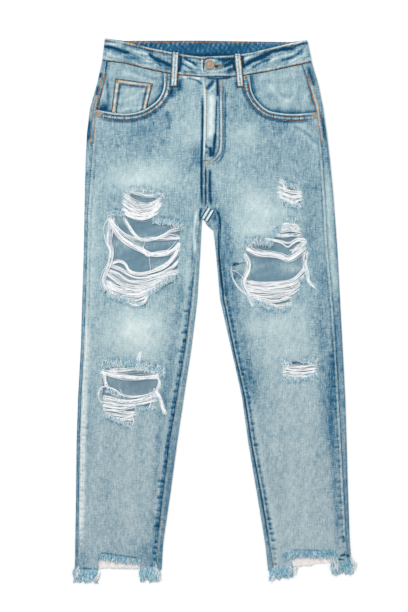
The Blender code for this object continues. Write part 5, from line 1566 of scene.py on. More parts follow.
def grown(name, lines, values, tree, inputs):
    """A plain mesh object that a tree makes along guide lines; values are held at their points."""
    counts = [len(line) for line in lines]
    starts = np.concatenate([[0], np.cumsum(counts)])
    edges = [(s + i, s + i + 1) for s, count in zip(starts, counts) for i in range(count - 1)]
    guide = bpy.data.meshes.new(name + " guide")
    guide.from_pydata(np.vstack(lines).tolist(), edges, [])
    for key, parts in values.items():
        data = np.concatenate([np.asarray(part, np.float32).ravel() for part in parts])
        kind, slot = ("FLOAT_VECTOR", "vector") if len(data) == 3 * starts[-1] else ("FLOAT", "value")
        guide.attributes.new(key, kind, "POINT").data.foreach_set(slot, data)
    holder = bpy.data.objects.new(name + " guide", guide)
    modifier = holder.modifiers.new("grow", "NODES")
    modifier.node_group = tree
    for item in tree.interface.items_tree:
        if item.in_out == "INPUT" and item.name in inputs:
            modifier[item.identifier] = inputs[item.name]
    bpy.context.scene.collection.objects.link(holder)
    depsgraph = bpy.context.evaluated_depsgraph_get()
    mesh = bpy.data.meshes.new_from_object(holder.evaluated_get(depsgraph), depsgraph=depsgraph)
    holder.modifiers.remove(modifier)
    bpy.data.objects.remove(holder)
    bpy.data.meshes.remove(guide)
    if not mesh.polygons:
        raise RuntimeError(f"{name} came out empty")
    mesh.name = name
    made = bpy.data.objects.new(name, mesh)
    bpy.context.scene.collection.objects.link(made)
    return made


# ---------------------------------------------------------------- declaring pieces
CUTS = {}               # width, length and area of each sheet, in millimetres


def settle(piece, slot, nodes=()):
    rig.ride(piece, "root")
    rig.slot(piece, slot)
    if nodes:
        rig.replaces(piece, *nodes)


def declare(name, rests_on=(), with_pieces=()):
    """States the cut of a sheet, what it lies on and the pieces sewn to it."""
    width, long, area = CUTS[name]
    present = [bpy.data.objects[part] for part in with_pieces if part in bpy.data.objects]
    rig.sheet(bpy.data.objects[name], flat=(width * MM, long * MM), held="laid", rests_on=list(rests_on),
             area=min(area, width * long) * MM * MM, with_pieces=present)


def outline_area(outline):
    x, y = outline[:, 0], outline[:, 1]
    return abs(float(np.dot(x, np.roll(y, -1)) - np.dot(y, np.roll(x, -1)))) / 2.0


def grid_reach(grid):
    """Width and length of a grid of points along its surface, in millimetres."""
    across = np.linalg.norm(np.diff(grid, axis=1), axis=-1).sum(axis=1).max()
    down = np.linalg.norm(np.diff(grid, axis=0), axis=-1).sum(axis=0).max()
    return float(across) / MM, float(down) / MM


def grid_area(grid):
    """Area of a grid of points, in square millimetres."""
    a, b, c, d = grid[:-1, :-1], grid[:-1, 1:], grid[1:, 1:], grid[1:, :-1]
    halves = np.linalg.norm(np.cross(b - a, d - a), axis=-1) + np.linalg.norm(np.cross(b - c, d - c), axis=-1)
    return float(halves.sum()) / 2.0 / (MM * MM)


# ---------------------------------------------------------------- front panels
def ragged(loop, amount, seed):
    """A closed outline made uneven, where amount says how much at each point."""
    x, drop = loop.T
    coarse = np.column_stack([wander(x, drop, 6.0, seed), wander(x, drop, 6.0, seed + 1)])
    fine = np.column_stack([wander(x, drop, 2.6, seed + 2), wander(x, drop, 2.6, seed + 3)])
    return loop + (coarse + 0.5 * fine) * amount[:, None]


def front_outline(side, step):
    """The front panel's edge: waist, centre and inseam, torn hem, side seam and pocket opening."""
    turn = outward(side)
    pocket = pocket_line(side)
    centre = CENTRE_X + turn * GAP / 2
    waist_x = np.linspace(pocket[0][0], centre, 40)
    waist = np.column_stack([waist_x, edge(WAIST_SEAM, waist_x) + SEAM])
    hem = np.array(TORN_HEM[side])
    drops = np.linspace(70.0, float(edge(HEM[side], leg(side, HEM_AT, "inseam"))), 300)
    inner = np.column_stack([leg(side, drops, "inseam") + turn * GAP / 2, drops])
    side_drops = np.linspace(float(edge(HEM[side], leg(side, HEM_AT, "side_seam"))), pocket[-1][1], 300)
    outer = np.column_stack([leg(side, side_drops, "side_seam") - turn * GAP / 2, side_drops])
    loop = resample(np.vstack([waist, inner, hem, outer, pocket[::-1][:-1]]), step, closed=True)
    torn = (loop[:, 1] > TORN_FROM) & (abs(loop[:, 0] - leg(side, loop[:, 1], "side_seam")) > 3.0)
    torn &= abs(loop[:, 0] - leg(side, loop[:, 1], "inseam")) > 3.0
    return ragged(loop, torn * sizes().rag / MM, 61)


def detailed(x, drop):
    """Where the front needs a finer mesh, because a narrow crease or a seam runs there."""
    return creased(x, drop, NARROW_LINES)[0] > 0.2


def make_front(side):
    step = sizes().mesh_step / MM
    outline = front_outline(side, step * 0.8)
    holes = []
    for number, (name, rip) in enumerate(RIPS.items()):
        if name.startswith(side):
            hole = resample(rip, step * 0.8, closed=True)
            holes.append(ragged(hole, np.full(len(hole), sizes().rag / MM), 70 + number))
    upper = flat_mesh(outline, holes, step, detailed)
    under = flat_mesh(outline, holes, sizes().under_step / MM)
    x, drop = upper[0].T
    rise, tone = front_relief(x, drop)
    count, count_under = len(x), len(under[0])
    marks = {"wash": np.concatenate([front_wash_and_shade(x, drop, tone), np.full(count_under, 0.5)]),
             "inside": np.concatenate([np.zeros(count), np.ones(count_under)]),
             "inner_wash": np.full(count + count_under, 0.5), "raw": np.zeros(count + count_under)}
    piece = shell(f"front_{side}", upper, under, front_under(x, drop) + DENIM + rise,
                  front_under(*under[0].T), denim("washed denim"), marks)
    settle(piece, "washed_denim", [f"front_leg_{side}"])
    CUTS[piece.name] = (float(np.ptp(outline[:, 0])), float(np.ptp(outline[:, 1])), outline_area(outline))


# ---------------------------------------------------------------- back panels and yokes
FLAP_STEPS = 4
FOLD_STEPS = 8
FLAT_STEPS = 50


def wrapped(side, drop, rolled):
    """Section of a back piece at one drop: x, z and whether on top, for its outer and inner skins."""
    turn = outward(side)
    low = float(layer(drop, "back"))
    high = float(layer(drop, "front")) + DENIM
    radius = (high - low) / 2
    middle = (high + low) / 2
    fold_x = float(leg(side, drop, "side_edge")) - turn * radius
    seam_x = float(leg(side, drop, "side_seam")) + turn * GAP / 2
    roll = float(leg(side, drop, "roll")) if rolled else 0.0
    inner_x = float(leg(side, drop, "inner_edge")) + turn * GAP / 2
    skins = []
    for size in (radius, radius - DENIM):
        parts = []
        flap = np.linspace(seam_x, fold_x, FLAP_STEPS + 1)[:-1]
        parts.append((flap, np.full(len(flap), middle + size), np.ones(len(flap))))
        angle = np.linspace(math.pi / 2, -math.pi / 2, FOLD_STEPS + 1)
        parts.append((fold_x + turn * size * np.cos(angle), middle + size * np.sin(angle), angle > 0.0))
        run = roll * radius + (1.0 - roll) * (math.pi * radius + 0.6)
        start_x = inner_x + turn * (run if rolled else 0.0)
        flat = np.linspace(fold_x, start_x, FLAT_STEPS + 1)[1:]
        parts.append((flat, np.full(len(flat), middle - size), np.zeros(len(flat))))
        if rolled:
            turned_by = roll * math.pi * np.arange(1, FOLD_STEPS + 1) / FOLD_STEPS
            if roll > 0.0:
                bend_x = start_x - turn * size * np.sin(turned_by)
            else:
                bend_x = start_x - turn * math.pi * radius * np.arange(1, FOLD_STEPS + 1) / FOLD_STEPS
            parts.append((bend_x, middle - size * np.cos(turned_by), turned_by > math.pi * 0.5))
            end = float(leg(side, drop, "inseam")) - turn * GAP / 2
            reach = max(0.6, abs(end - start_x)) if roll == 1.0 else 0.6
            out = reach * np.arange(1, FLAP_STEPS + 1) / FLAP_STEPS
            last = turned_by[-1]
            parts.append((bend_x[-1] - turn * out * math.cos(last),
                          middle - size * math.cos(last) + out * math.sin(last),
                          np.full(FLAP_STEPS, float(roll == 1.0))))
        skins.append([np.concatenate([part[k] for part in parts]) for k in range(3)])
    return skins


def back_wash(x, drop):
    """Wash of the back: paler on the seat and behind the knees, darker down the centre seam, creased."""
    leg_middle = np.where(x < CENTRE_X, -135.0, 120.0)
    pale = 0.12 * np.exp(-((x - leg_middle) / 55.0) ** 2 - ((drop - 190.0) / 70.0) ** 2)
    pale += 0.10 * np.exp(-((x - leg_middle) / 45.0) ** 2 - ((drop - 520.0) / 120.0) ** 2)
    pale -= 0.30 * bell(x, CENTRE_X, 3.5) * (drop < 310.0)
    mottle = 0.03 * wander(x, drop, 40.0, 81) + 0.03 * wander(x, drop, 11.0, 82)
    return BASE_WASH["back"] + pale + mottle + creased(x, drop, BACK_LINES)[1] * sizes().crease_wash_and_shade


def torn_notch(side, x, drop):
    """How far a place of the back shows its raw inside under the torn front hem."""
    notch = TORN_HEM[side]
    top = np.interp(x, *zip(*sorted(notch[1:-1])))
    reach = (min(p[0] for p in notch) - 3.0, max(p[0] for p in notch) + 3.0)
    return smooth01((drop - top + 1.0) / 5.0) * (x > reach[0]) * (x < reach[1])


def back_piece(name, side, sections, rolled, nodes):
    """A back panel or yoke; sections pair a drop with a function giving each point's own drop."""
    skins = [np.array([wrapped(side, drop, rolled)[which] for drop, _ in sections]) for which in (0, 1)]
    grids, marks = [], {"wash": [], "inside": [], "inner_wash": [], "raw": []}
    for which, skin in enumerate(skins):
        x, z, on_top = skin[:, 0], skin[:, 1], skin[:, 2] > 0.5
        at = np.array([line(row, top) for (_, line), row, top in zip(sections, x, on_top)])
        rise, tone = front_relief(x, at)
        wrinkle = 0.14 * (wander(x, at, 24.0, 83) + 1.0) if which else 0.0
        grids.append(point(x, at, z + np.where(on_top, rise, wrinkle)))
        edge_tone = tone - 0.10 - 0.07 * clamp01((at - 450.0) / 350.0)
        marks["wash"].append(np.where(on_top, front_wash_and_shade(x, at, edge_tone), back_wash(x, at)))
        marks["inside"].append(np.full(x.shape, float(which)))
        marks["inner_wash"].append(0.50 + 0.16 * wander(x, at, 45.0, 84) + 0.08 * wander(x, at, 12.0, 85))
        blotch = 0.88 + 0.12 * wander(x, at * 0.4, 9.0, 86)
        marks["raw"].append(torn_notch(side, x, at) * blotch * ~on_top)
    outer, inner = grids
    marks = {key: np.concatenate([np.ravel(value) for value in values]) for key, values in marks.items()}
    piece = wall(name, outer, inner, denim("washed denim"), marks)
    settle(piece, "washed_denim", nodes)
    widths = np.linalg.norm(np.diff(outer, axis=1), axis=-1).sum(axis=1)
    CUTS[name] = (float(widths.max()) / MM, float(np.ptp(outer[..., 1])) / MM, grid_area(outer))


def yoke_drop(side, x, on_top):
    return np.where(on_top, YOKE_SIDE, edge(YOKE_SEAM[side], x))


def make_back_leg(side):
    count = round((HEM_AT - YOKE_SIDE) / (sizes().back_step / MM))
    notch = TORN_HEM[side]
    first, last = min(p[0] for p in notch), max(p[0] for p in notch)

    def place(at):
        def line(x, on_top):
            seam = (yoke_drop(side, x, on_top) - YOKE_SIDE) * (1.0 - smooth01((at - YOKE_SIDE) / 60.0))
            torn = smooth01((x - first) / 5.0) * smooth01((last - x) / 5.0)
            foot = edge(HEM[side], x) - HEM_AT - torn * (3.4 + 1.1 * wander(x, 0.0 * x, 7.0, 88))
            return at + seam + foot * clamp01((at - TORN_FROM) / (HEM_AT - TORN_FROM))
        return line

    sections = [(at, place(at)) for at in np.linspace(YOKE_SIDE, HEM_AT, count + 1)]
    back_piece(f"back_{side}", side, sections, True, [f"back_leg_{side}"])


def make_yoke(side):
    def place(share):
        def line(x, on_top):
            waist = edge(BACK_SEAM, x) + SEAM
            waist = np.where(on_top, edge(WAIST_SEAM, x) + SEAM, waist)
            return waist + (yoke_drop(side, x, on_top) - GAP - waist) * share
        return line

    sections = [(YOKE_TOP + (YOKE_SIDE - YOKE_TOP) * share, place(share))
                for share in np.linspace(0.0, 1.0, 15)]
    back_piece(f"yoke_{side}", side, sections, False, [f"back_yoke_{side}"])


# ---------------------------------------------------------------- waistband
def make_waistband():
    low = float(layer(0.0, "back"))
    radius = (BAND_Z + BAND - low) / 2
    middle = low + radius
    share = np.concatenate([[0.0, 0.025], np.linspace(0.06, 0.94, 20), [0.975, 1.0]])
    rounding = 0.55 * np.exp(-np.minimum(share, 1.0 - share) / 0.025)
    # painted shade along the band's lower edge, where it steps down onto the panels, and darker just below its top row
    dark = -0.60 * bell(1.0 - share, 0.0, 0.03) - 0.34 * bell(share, 0.12, 0.04)
    seam_ridge = 0.20 * bell(share, 0.90, 0.04) + 0.22 * bell(share, 0.02, 0.03)
    corners = {"right": (WAIST_TOP[0], WAIST_SEAM[0]), "left": (WAIST_TOP[-1], WAIST_SEAM[-1])}
    centres = {side: [spot[0] - outward(side) * radius for spot in pair] for side, pair in corners.items()}
    outer, inner, wash, inner_wash = [], [], [], []

    def station(xs, drops, z_out, z_in, shift=(0.0, 0.0), front=True):
        x = xs[0] + (xs[1] - xs[0]) * share
        drop = drops[0] + (drops[1] - drops[0]) * share
        if front:
            rise, tone = band_relief(x, drop)
            high = z_out + rise - rounding
            under = np.minimum(z_in + 0.3 * rounding + np.minimum(rise, 0.0) * 0.2, high - 0.6)
        else:
            tone = 0.05 * wander(x, drop, 18.0, 43)
            high = z_out + rounding
            under = z_in + 0.30 * wander(x, drop * 0.25, 9.0, 42) - 0.3 * rounding
        outer.append(point(x + shift[0], drop, high))
        inner.append(point(x + shift[1], drop, under))
        slant = drop - np.where(x < CENTRE_X, 0.38, -0.42) * x
        pull = wander(x * 0.22, slant, 7.0, 44) + 0.6 * wander(x * 0.3, slant, 3.6, 46)
        mottle = 0.10 * pull + 0.04 * wander(x, drop, 9.0, 45)
        wash.append(BASE_WASH["band"] + tone + dark + seam_ridge + mottle)
        # Inside of the back band: its pleats are painted in lighter and darker stripes, painted shade and highlight,
        # and the dip at drop 31 is painted shadow under the front band's top edge.
        cells = wander(x + 0.4 * drop, drop * 0.45, 10.0, 42) + 0.6 * wander(x, drop, 6.0, 47)
        inner_wash.append(0.40 + 0.24 * cells - 0.5 * bell(drop, 31.0, 4.0)
                          + 0.12 * bell(share, 0.12, 0.06))

    def run(side, end_x, count, lifted):
        stations = []
        for s in np.linspace(0.0, 1.0, count):
            xs = [x + (end_x - x) * s for x in centres[side]]
            drops = (float(edge(WAIST_TOP, xs[0])), float(edge(WAIST_SEAM, xs[1])))
            lift = float(overlap_rise(np.array(xs[0] + 1e-6))) if lifted else 0.0
            stations.append((xs, drops, BAND_Z + BAND + lift, BAND_Z + lift))
        return stations

    def fold(side, angles):
        turn = outward(side)
        for angle in angles:
            shift = [turn * size * math.cos(angle) for size in (radius, radius - BAND)]
            station(centres[side], [spot[1] for spot in corners[side]], middle + radius * math.sin(angle),
                    middle + (radius - BAND) * math.sin(angle), shift, front=angle > 0.0)

    for values in reversed(run("right", UNDERLAP_END, 132, False)):
        station(*values)
    fold("right", np.linspace(math.pi / 2, -math.pi / 2, 9)[1:])
    for s in np.linspace(0.0, 1.0, 200)[1:]:
        xs = [a + (b - a) * s for a, b in zip(centres["right"], centres["left"])]
        drops = (float(edge(BACK_TOP, xs[0])), float(edge(BACK_SEAM, xs[1])))
        station(xs, drops, low, low + BAND, front=False)
    fold("left", np.linspace(-math.pi / 2, math.pi / 2, 9)[1:])
    for values in run("left", OVERLAP_END, 122, True)[1:]:
        station(*values)
    count = len(outer) * len(share)
    marks = {"wash": np.tile(np.ravel(wash), 2), "raw": np.zeros(2 * count),
             "inside": np.repeat((0.0, 1.0), count), "inner_wash": np.tile(np.ravel(inner_wash), 2)}
    outer, inner = np.array(outer), np.array(inner)
    piece = wall("waistband_cloth", outer, inner, denim("waistband denim"), marks)
    settle(piece, "washed_denim", ["waistband"])
    CUTS[piece.name] = (*grid_reach(outer.swapaxes(0, 1)), grid_area(outer))


# ---------------------------------------------------------------- flat strips: loops, pockets, zip tape
def strip(name, x, drop, high, low, cloth, nodes, tone, base, right_side_up=True):
    """A flat sewn-on piece over a grid of places, its rim rounded."""
    high, low = np.array(high, float), np.array(low, float)
    for edge_rows in ((0, slice(None)), (-1, slice(None)), (slice(None), 0), (slice(None), -1)):
        high[edge_rows] -= 0.25
        low[edge_rows] += 0.15
    wash = base + tone + 0.03 * wander(x, drop, 12.0, 91) + 0.02 * wander(x, drop, 5.0, 92)
    marks = {"wash": np.tile(wash.ravel(), 2), "raw": np.zeros(2 * x.size),
             "inside": np.repeat((0.0, 1.0) if right_side_up else (1.0, 0.0), x.size),
             "inner_wash": np.full(2 * x.size, 0.5)}
    outer, inner = point(x, drop, high), point(x, drop, low)
    piece = wall(name, outer, inner, tape_finish() if cloth == "zip tape" else denim(cloth), marks)
    settle(piece, cloth.replace(" ", "_"), nodes)
    CUTS[name] = (*grid_reach(outer), grid_area(outer))


def loop_shape(side):
    """Places and heights of a front belt loop, with its shares down and across."""
    top, foot = FRONT_LOOPS[side]
    t, u = shares(46, 11, -1.0)
    x = top[0] + (foot[0] - top[0]) * t + u * LOOP_WIDTH / 2
    drop = top[1] + (foot[1] - top[1]) * t
    below = smooth01((drop - foot[1] + 22.0) / 9.0)
    seat = float(overlap_rise(np.array(top[0] - LOOP_WIDTH / 2))) + BAND_Z + BAND
    base = seat + (front_under(x, foot[1]) + DENIM - seat) * below + GAP
    ridge = 0.5 * bell(abs(u), 0.72, 0.2) + 0.25 * (1.0 - u ** 2)
    ends = smooth01(np.minimum(t, 1.0 - t) / 0.06)
    return x, drop, base + 1.2 + 0.7 * ends + ridge * ends, base, t, u


def make_front_loop(side):
    x, drop, high, low, t, u = loop_shape(side)
    tone = 0.16 * bell(abs(u), 0.42, 0.2) - 0.30 * bell(u, 0.05, 0.16)
    tone = tone + 0.18 * wander(x, drop, 5.0, 93 + len(side))
    # painted shade along the loop's two edges and across its foot
    tone = tone - 1.5 * bell(abs(u), 1.0, 0.20) - 1.2 * bell(t, 1.0, 0.03)
    strip(f"loop_front_{side}", x, drop, high, low, "washed denim", [f"belt_loop_front_{side}"], tone,
          BASE_WASH["loop"])


def make_back_loop(place):
    t, u = shares(30, 9, -1.0)
    x = BACK_LOOP_X[place] + u * LOOP_WIDTH / 2
    drop = 6.0 + 60.0 * t
    ridge = 0.18 * bell(abs(u), 0.7, 0.22)
    strip(f"loop_back_{place}", x, drop, np.full(x.shape, 1.2), 0.2 - ridge, "washed denim",
          [f"belt_loop_back_{place}"], ridge, BASE_WASH["back"], right_side_up=False)


def make_facing(side):
    turn = outward(side)
    t, u = shares(48, 62)
    start = leg(side, 42.0 + (FACING_DROP - 42.0) * t, "side_seam") - turn * GAP
    x = start + (FACING_INNER_X[side] - start) * u
    waist = edge(WAIST_SEAM, x) + SEAM
    drop = waist + (FACING_DROP - waist) * t
    tone = creased(x, drop, FACING_LINES)[1]
    near, _ = from_line(x.ravel(), drop.ravel(), pocket_line(side))
    # painted shadow on the facing beside the pocket's free edge, which stands above it, and painted shade along the
    # side seam
    tone = tone - 0.46 * bell(near.reshape(x.shape), 0.0, 4.5) + 0.03 * wander(x, drop, 24.0, 95)
    tone = tone - 0.60 * np.exp(-(abs(x - leg(side, drop, "side_seam")) / 2.6) ** 2)
    strip(f"facing_{side}", x, drop, facing_top(side, x, drop), front_under(x, drop) - GAP - FACING,
          "facing denim", [f"pocket_facing_{side}"], tone, BASE_WASH["facing"])


def coin_places():
    """Places of the coin pocket, whose foot follows the free edge of the right pocket."""
    t, u = shares(30, 36)
    foot_x = COIN_FOOT_X[0] + (COIN_FOOT_X[1] - COIN_FOOT_X[0]) * u
    line = smooth_line(POCKET_EDGE["right"], 4)[::-1]
    line = line[line[:, 0] < -95.0]
    foot = np.interp(foot_x, line[:, 0], line[:, 1]) - 0.9
    top_x = COIN_TOP[0][0] + (COIN_TOP[1][0] - COIN_TOP[0][0]) * u
    top = COIN_TOP[0][1] + (COIN_TOP[1][1] - COIN_TOP[0][1]) * u
    return top_x + (foot_x - top_x) * t, top + (foot - top) * t, t, u


def coin_top(x, drop):
    return front_under(x, drop) + FACING + 0.45 + 0.2 * wander(x, drop, 30.0, 52)


def make_coin_pocket():
    x, drop, t, u = coin_places()
    near = np.minimum(np.minimum(u, 1.0 - u) * COIN_SIZE[0], t * COIN_SIZE[1])
    ridge = bell(near, 2.2, 1.6)
    groove = bell(near, 8.6, 2.2)
    # A dark rim of painted shade round the pocket's edge, and a groove inside the stitching darkened partly with
    # painted shade; the ridges are worn paler.
    tone = 0.16 * ridge - 0.52 * groove - 1.2 * bell(near, 0.0, 1.4) + 0.10 * wander(x, drop, 12.0, 53)
    tone = tone + 0.30 * bell(near, 5.0, 1.4)
    tone = tone + 0.10 * np.exp(-((x + 150.0) / 16.0) ** 2 - ((drop - 108.0) / 14.0) ** 2)
    high = coin_top(x, drop) + 0.35 * ridge - 0.25 * groove
    strip("coin_pocket_cloth", x, drop, high, front_under(x, drop), "facing denim", ["coin_pocket"], tone,
          BASE_WASH["coin"])


def make_back_pocket(side):
    top, foot = POCKET_SHAPE[0][0], POCKET_SHAPE[-1][0]
    drop, u = np.meshgrid(np.linspace(top, foot, 44), np.linspace(-1.0, 1.0, 40), indexing="ij")
    half = np.interp(drop, *np.transpose(POCKET_SHAPE))
    x = POCKET_X[side] + half * u
    near = np.minimum((1.0 - abs(u)) * half, np.minimum(drop - top, foot - drop))
    ridge = 0.12 * bell(near, 2.0, 1.8)
    # paler on the worn ridge at the edge, and darker in the groove inside the stitching, partly painted shade
    tone = ridge - 0.14 * bell(near, 8.0, 2.5)
    strip(f"back_pocket_cloth_{side}", x, drop, np.full(x.shape, 1.2), 0.38 - ridge, "washed denim",
          [f"back_pocket_{side}"], tone, BASE_WASH["back"], right_side_up=False)


def make_zip():
    """The closed zip behind the fly: its woven tape and two rows of teeth."""
    t, u = shares(50, 15)
    x = ZIP_X + ZIP_WIDTH * u
    drop = ZIP_DROPS[0] + (ZIP_DROPS[1] - ZIP_DROPS[0]) * t
    bed = front_under(x, drop) - GAP
    high = bed - 0.25 - 0.1 * bell(u, 0.5, 0.12)
    strip("zip_tape_cloth", x, drop, high, bed - FACING, "zip tape", ["fly_zip"], 0.0, 0.5)
    drops = np.linspace(*ZIP_TEETH, 60)
    lines = []
    for offset in (-1.1, 1.1):
        xs = np.full(len(drops), ZIP_X + ZIP_WIDTH / 2 + offset)
        lines.append(point(xs, drops, front_under(xs, drops) - GAP - 0.35))
    teeth = grown("zip_teeth", lines, {}, stitch_tree(),
                  {"Stitch": 0.0012, "Gap": 0.0008, "Thread": 0.0011, "Seed": 5, "Finish": copper()})
    settle(teeth, "copper")


# ---------------------------------------------------------------- bared threads, fringes and stitching
def make_threads(rip):
    """The white threads still strung across a rip, in uneven bundles that sag."""
    pick = random.Random(rip)
    lines, thick, shade = [], [], []
    for number, yarn in enumerate(YARNS[rip]):
        middle = even(smooth_line(yarn.points), 3.0)
        beside = offset_line(middle, 1.0)
        t = np.linspace(0.0, 1.0, len(middle))
        strands = yarn.count if yarn.spread < 1.0 else round(1.35 * yarn.count)
        strays = 3 if yarn.spread > 1.5 else 0
        for strand in range(strands + strays):
            stray = strand >= strands
            across = yarn.spread * (2.0 * (strand + 0.5) / strands - 1.0 + pick.uniform(-0.25, 0.25))
            if stray:
                across = yarn.spread * pick.choice((-1.0, 1.0)) * pick.uniform(1.0, 1.4)
            waver = np.sin(t * pick.uniform(3.0, 9.0) + pick.uniform(0.0, 6.3))[:, None]
            waver = (0.6 if stray else 0.35) * yarn.spread * waver
            line = offset_line(middle, across) + (beside * waver - middle * waver)
            line[:, 1] += np.sin(math.pi * t) * pick.uniform(-0.6, 1.4)
            start = line[0] + (line[0] - line[1]) * pick.uniform(0.6, 2.2)
            end = line[-1] + (line[-1] - line[-2]) * pick.uniform(0.6, 2.2)
            line = np.vstack([start, line, end])
            x, drop = line.T
            along = np.linspace(0.0, 1.0, len(line))
            from_end = np.minimum(along, 1.0 - along)
            lift = smooth01(from_end / 0.12) * pick.uniform(0.1, 0.9)
            bed = front_under(x, drop) + DENIM + 0.35
            height = bed + lift + 0.3 * np.sin(along * pick.uniform(4.0, 12.0) + number)
            lines.append(point(x, drop, height))
            size = sizes().yarn * (pick.uniform(0.35, 0.6) if stray else pick.uniform(0.6, 1.15))
            thick.append(size * (0.7 + 0.3 * smooth01(from_end / 0.08)))
            shade.append(np.full(len(line), pick.uniform(0.0, 1.0) ** 0.45))
    piece = grown(f"bared_{rip}", lines, {"thick": thick, "shade": shade}, yarn_tree(),
                  {"Sides": 4, "Finish": cotton("bared threads")})
    nodes = [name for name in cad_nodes() if name.startswith(f"threads_{rip}_")]
    settle(piece, "bared_threads", nodes)


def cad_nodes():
    """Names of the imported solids."""
    return sorted(item.name for item in bpy.data.objects if "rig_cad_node" in item)


def fringe_lines(points, way, surface, lift):
    """Guide points along the roots of a fringe, and which way its ends stand there."""
    line = even(smooth_line(points), 1.6)
    across = offset_line(line, 1.0) - line
    if way:
        across = across * (np.sign(across[:, 1:2]) * way + (across[:, 1:2] == 0.0))
    x, drop = line.T
    out = np.column_stack([across[:, 0], -across[:, 1], np.full(len(line), 0.12)])
    return point(x, drop, surface(x, drop) + lift), out


def grow_fringe(name, parts, spacing, yarn, spread, seed, nodes=()):
    """Broken ends along guide lines; each part is a line, its directions, its reaches and its tones."""
    lines, outs, reaches, tones = zip(*parts)
    piece = grown(name, lines, {"out": outs, "reach": reaches, "tone": tones}, fringe_tree(),
                  {"Spacing": spacing * sizes().fringe_spacing, "Yarn": yarn * sizes().fringe_width,
                   "Spread": spread, "Seed": seed, "Finish": cotton("raw fringe")})
    settle(piece, "raw_fringe", nodes)


def make_fringe(rip):
    """Broken warp ends along the edges of a rip."""
    parts = []
    for fringe in FRINGES[rip]:
        for row, (shift, tone) in enumerate(((-0.1, 0.50), (0.25, 0.46), (0.6, 0.66))):
            points = np.add(fringe.points, (0.0, shift * fringe.reach * (fringe.way or 1)))
            line, out = fringe_lines(points, fringe.way, front_top, 0.2 + 0.12 * row)
            clump = wander(line[:, 0] / MM, line[:, 1] / MM, 4.0, 17 + row)
            parts.append((line, out, fringe.reach * MM * (0.74 + 0.30 * clump), tone + 0.22 * clump))
    grow_fringe(f"frayed_{rip}", parts, 1.5, 1.6, 0.75, len(rip))


HEM_TABS = {            # frayed ends of the tabs beside each torn hem: both ends' x, their drops, reach, lobe
    "right": ((-252, -210, 955, 956, 25, 17), (-132.5, -100, 954, 954, 25, 13)),
    "left": ((101, 141, 957, 950, 20, 12), (211.5, 250, 945, 943, 21, 22)),
}
HEM_CURLS = {           # pale turned edges of the tabs: from (x, drop), towards (x, drop), strands' tone
    "right": (((-105, 952), (-99, 979), 0.95), ((-101, 962), (-97.5, 976), 0.9),
              ((-246, 954), (-246.5, 976), 1), ((-209.5, 966), (-220, 980), 1)),
    "left": (((134, 950), (147, 960), 0.9), ((146, 957), (141, 970), 1),
             ((107, 966), (104, 980), 0.95), ((212, 932), (215, 964), 0.95),
             ((219.5, 938), (220, 966), 1), ((246, 936), (253.5, 956), 0.9),
             ((252.5, 950), (246, 964), 0.95)),
}


def make_hem_fringe(side):
    parts = []

    def add(line, out, reach, tone):
        parts.append((line, out, np.broadcast_to(np.asarray(reach) * MM, len(line)),
                      np.broadcast_to(tone, len(line))))

    notch = np.array(TORN_HEM[side][1:-1])
    for shift, tone, lift in ((-2.0, 0.16, 0.2), (0.5, 0.34, 0.05), (2.5, 0.50, -0.2)):
        line, out = fringe_lines(notch + (0.0, shift), 1, lambda x, drop: front_under(x, drop) + 0.8, lift)
        clump = wander(line[:, 0] / MM, line[:, 1] / MM, 5.0, 19)
        add(line, out, 10.0 + 2.0 * clump, tone + 0.18 * clump)
    pale = np.column_stack([notch[:, 0], edge(HEM[side], notch[:, 0]) - 3.6])
    line, out = fringe_lines(pale[1:-1] if side == "left" else pale, 1, level(1.2), 0.0)
    add(line, out, 2.4 + 1.2 * wander(line[:, 0] / MM, line[:, 1] / MM, 6.0, 18), 1.0)
    for start, end, first, last, reach, lobe in HEM_TABS[side]:
        for row, shift in enumerate(np.arange(-2.0, reach - 4.0, 2.8)):
            xs = np.arange(start, end, 1.2)
            share = (xs - start) / (end - start)
            drops = first + (last - first) * share + shift + np.sin(xs * 0.7 + row)
            left = reach * (0.60 + 0.40 * np.sqrt(abs(np.sin(math.pi * (xs - start + 2.0) / lobe)))) - shift
            left *= smooth01(np.minimum(share, 1.0 - share) * 8.0 + 0.6)
            out = np.column_stack([0.35 * np.sin(xs * 0.31 + row) + 0.3 * (share - 0.5), -np.ones(len(xs)),
                                   np.full(len(xs), 0.03)])
            tone = 0.22 + 0.008 * shift + 0.20 * wander(xs, drops * 0.7, 9.0, 19)
            tone = tone + 0.10 * wander(xs, drops, 3.5, 20)
            line = point(xs, drops, 2.5 - 1.7 * clamp01(shift / reach))
            keep = np.flatnonzero(left > 3.4)
            for run in np.split(keep, np.flatnonzero(np.diff(keep) > 1) + 1):
                if len(run) > 1:
                    add(line[run], out[run], np.minimum(left, 8.5)[run], tone[run])
    for begin, finish, tone in HEM_CURLS[side]:
        run = np.subtract(finish, begin)
        span = float(np.linalg.norm(run))
        across = np.array([-run[1], run[0]]) / span
        line = np.array([np.add(begin, across * step) for step in (-1.6, -0.8, 0.0, 0.8, 1.6)])
        out = np.tile([run[0] / span, -run[1] / span, 0.02], (len(line), 1))
        add(point(*line.T, 2.6), out, 0.95 * span, tone)
    nodes = [f"hem_{side}_{part}_fringe" for part in ("inner", "middle", "outer")]
    grow_fringe(f"frayed_hem_{side}", parts, 0.8, 1.45, 0.3, 3 + len(side), nodes)


def on(surface, line, lift=0.12):
    """Guide points along a line of (x, drop) places, on a surface."""
    x, drop = even(line, 2.0).T
    return point(x, drop, surface(x, drop) + lift)


def zigzag(line, width, pitch):
    """Places that cross a line to and fro, as the thread of a bar tack does."""
    middle = even(line, pitch)
    across = offset_line(middle, 1.0) - middle
    sign = np.where(np.arange(len(middle)) % 2, 0.5, -0.5)
    return middle + across * (sign * width)[:, None]


def tack(surface, line, width=2.2, lift=0.25):
    x, drop = zigzag(line, width, 0.42).T
    return point(x, drop, surface(x, drop) + lift)


def band_line(line, shift, start, end, count=60):
    """A row along the waistband, at a distance below one of its edges."""
    xs = np.linspace(start, end, count)
    return np.column_stack([xs, edge(line, xs) + shift])


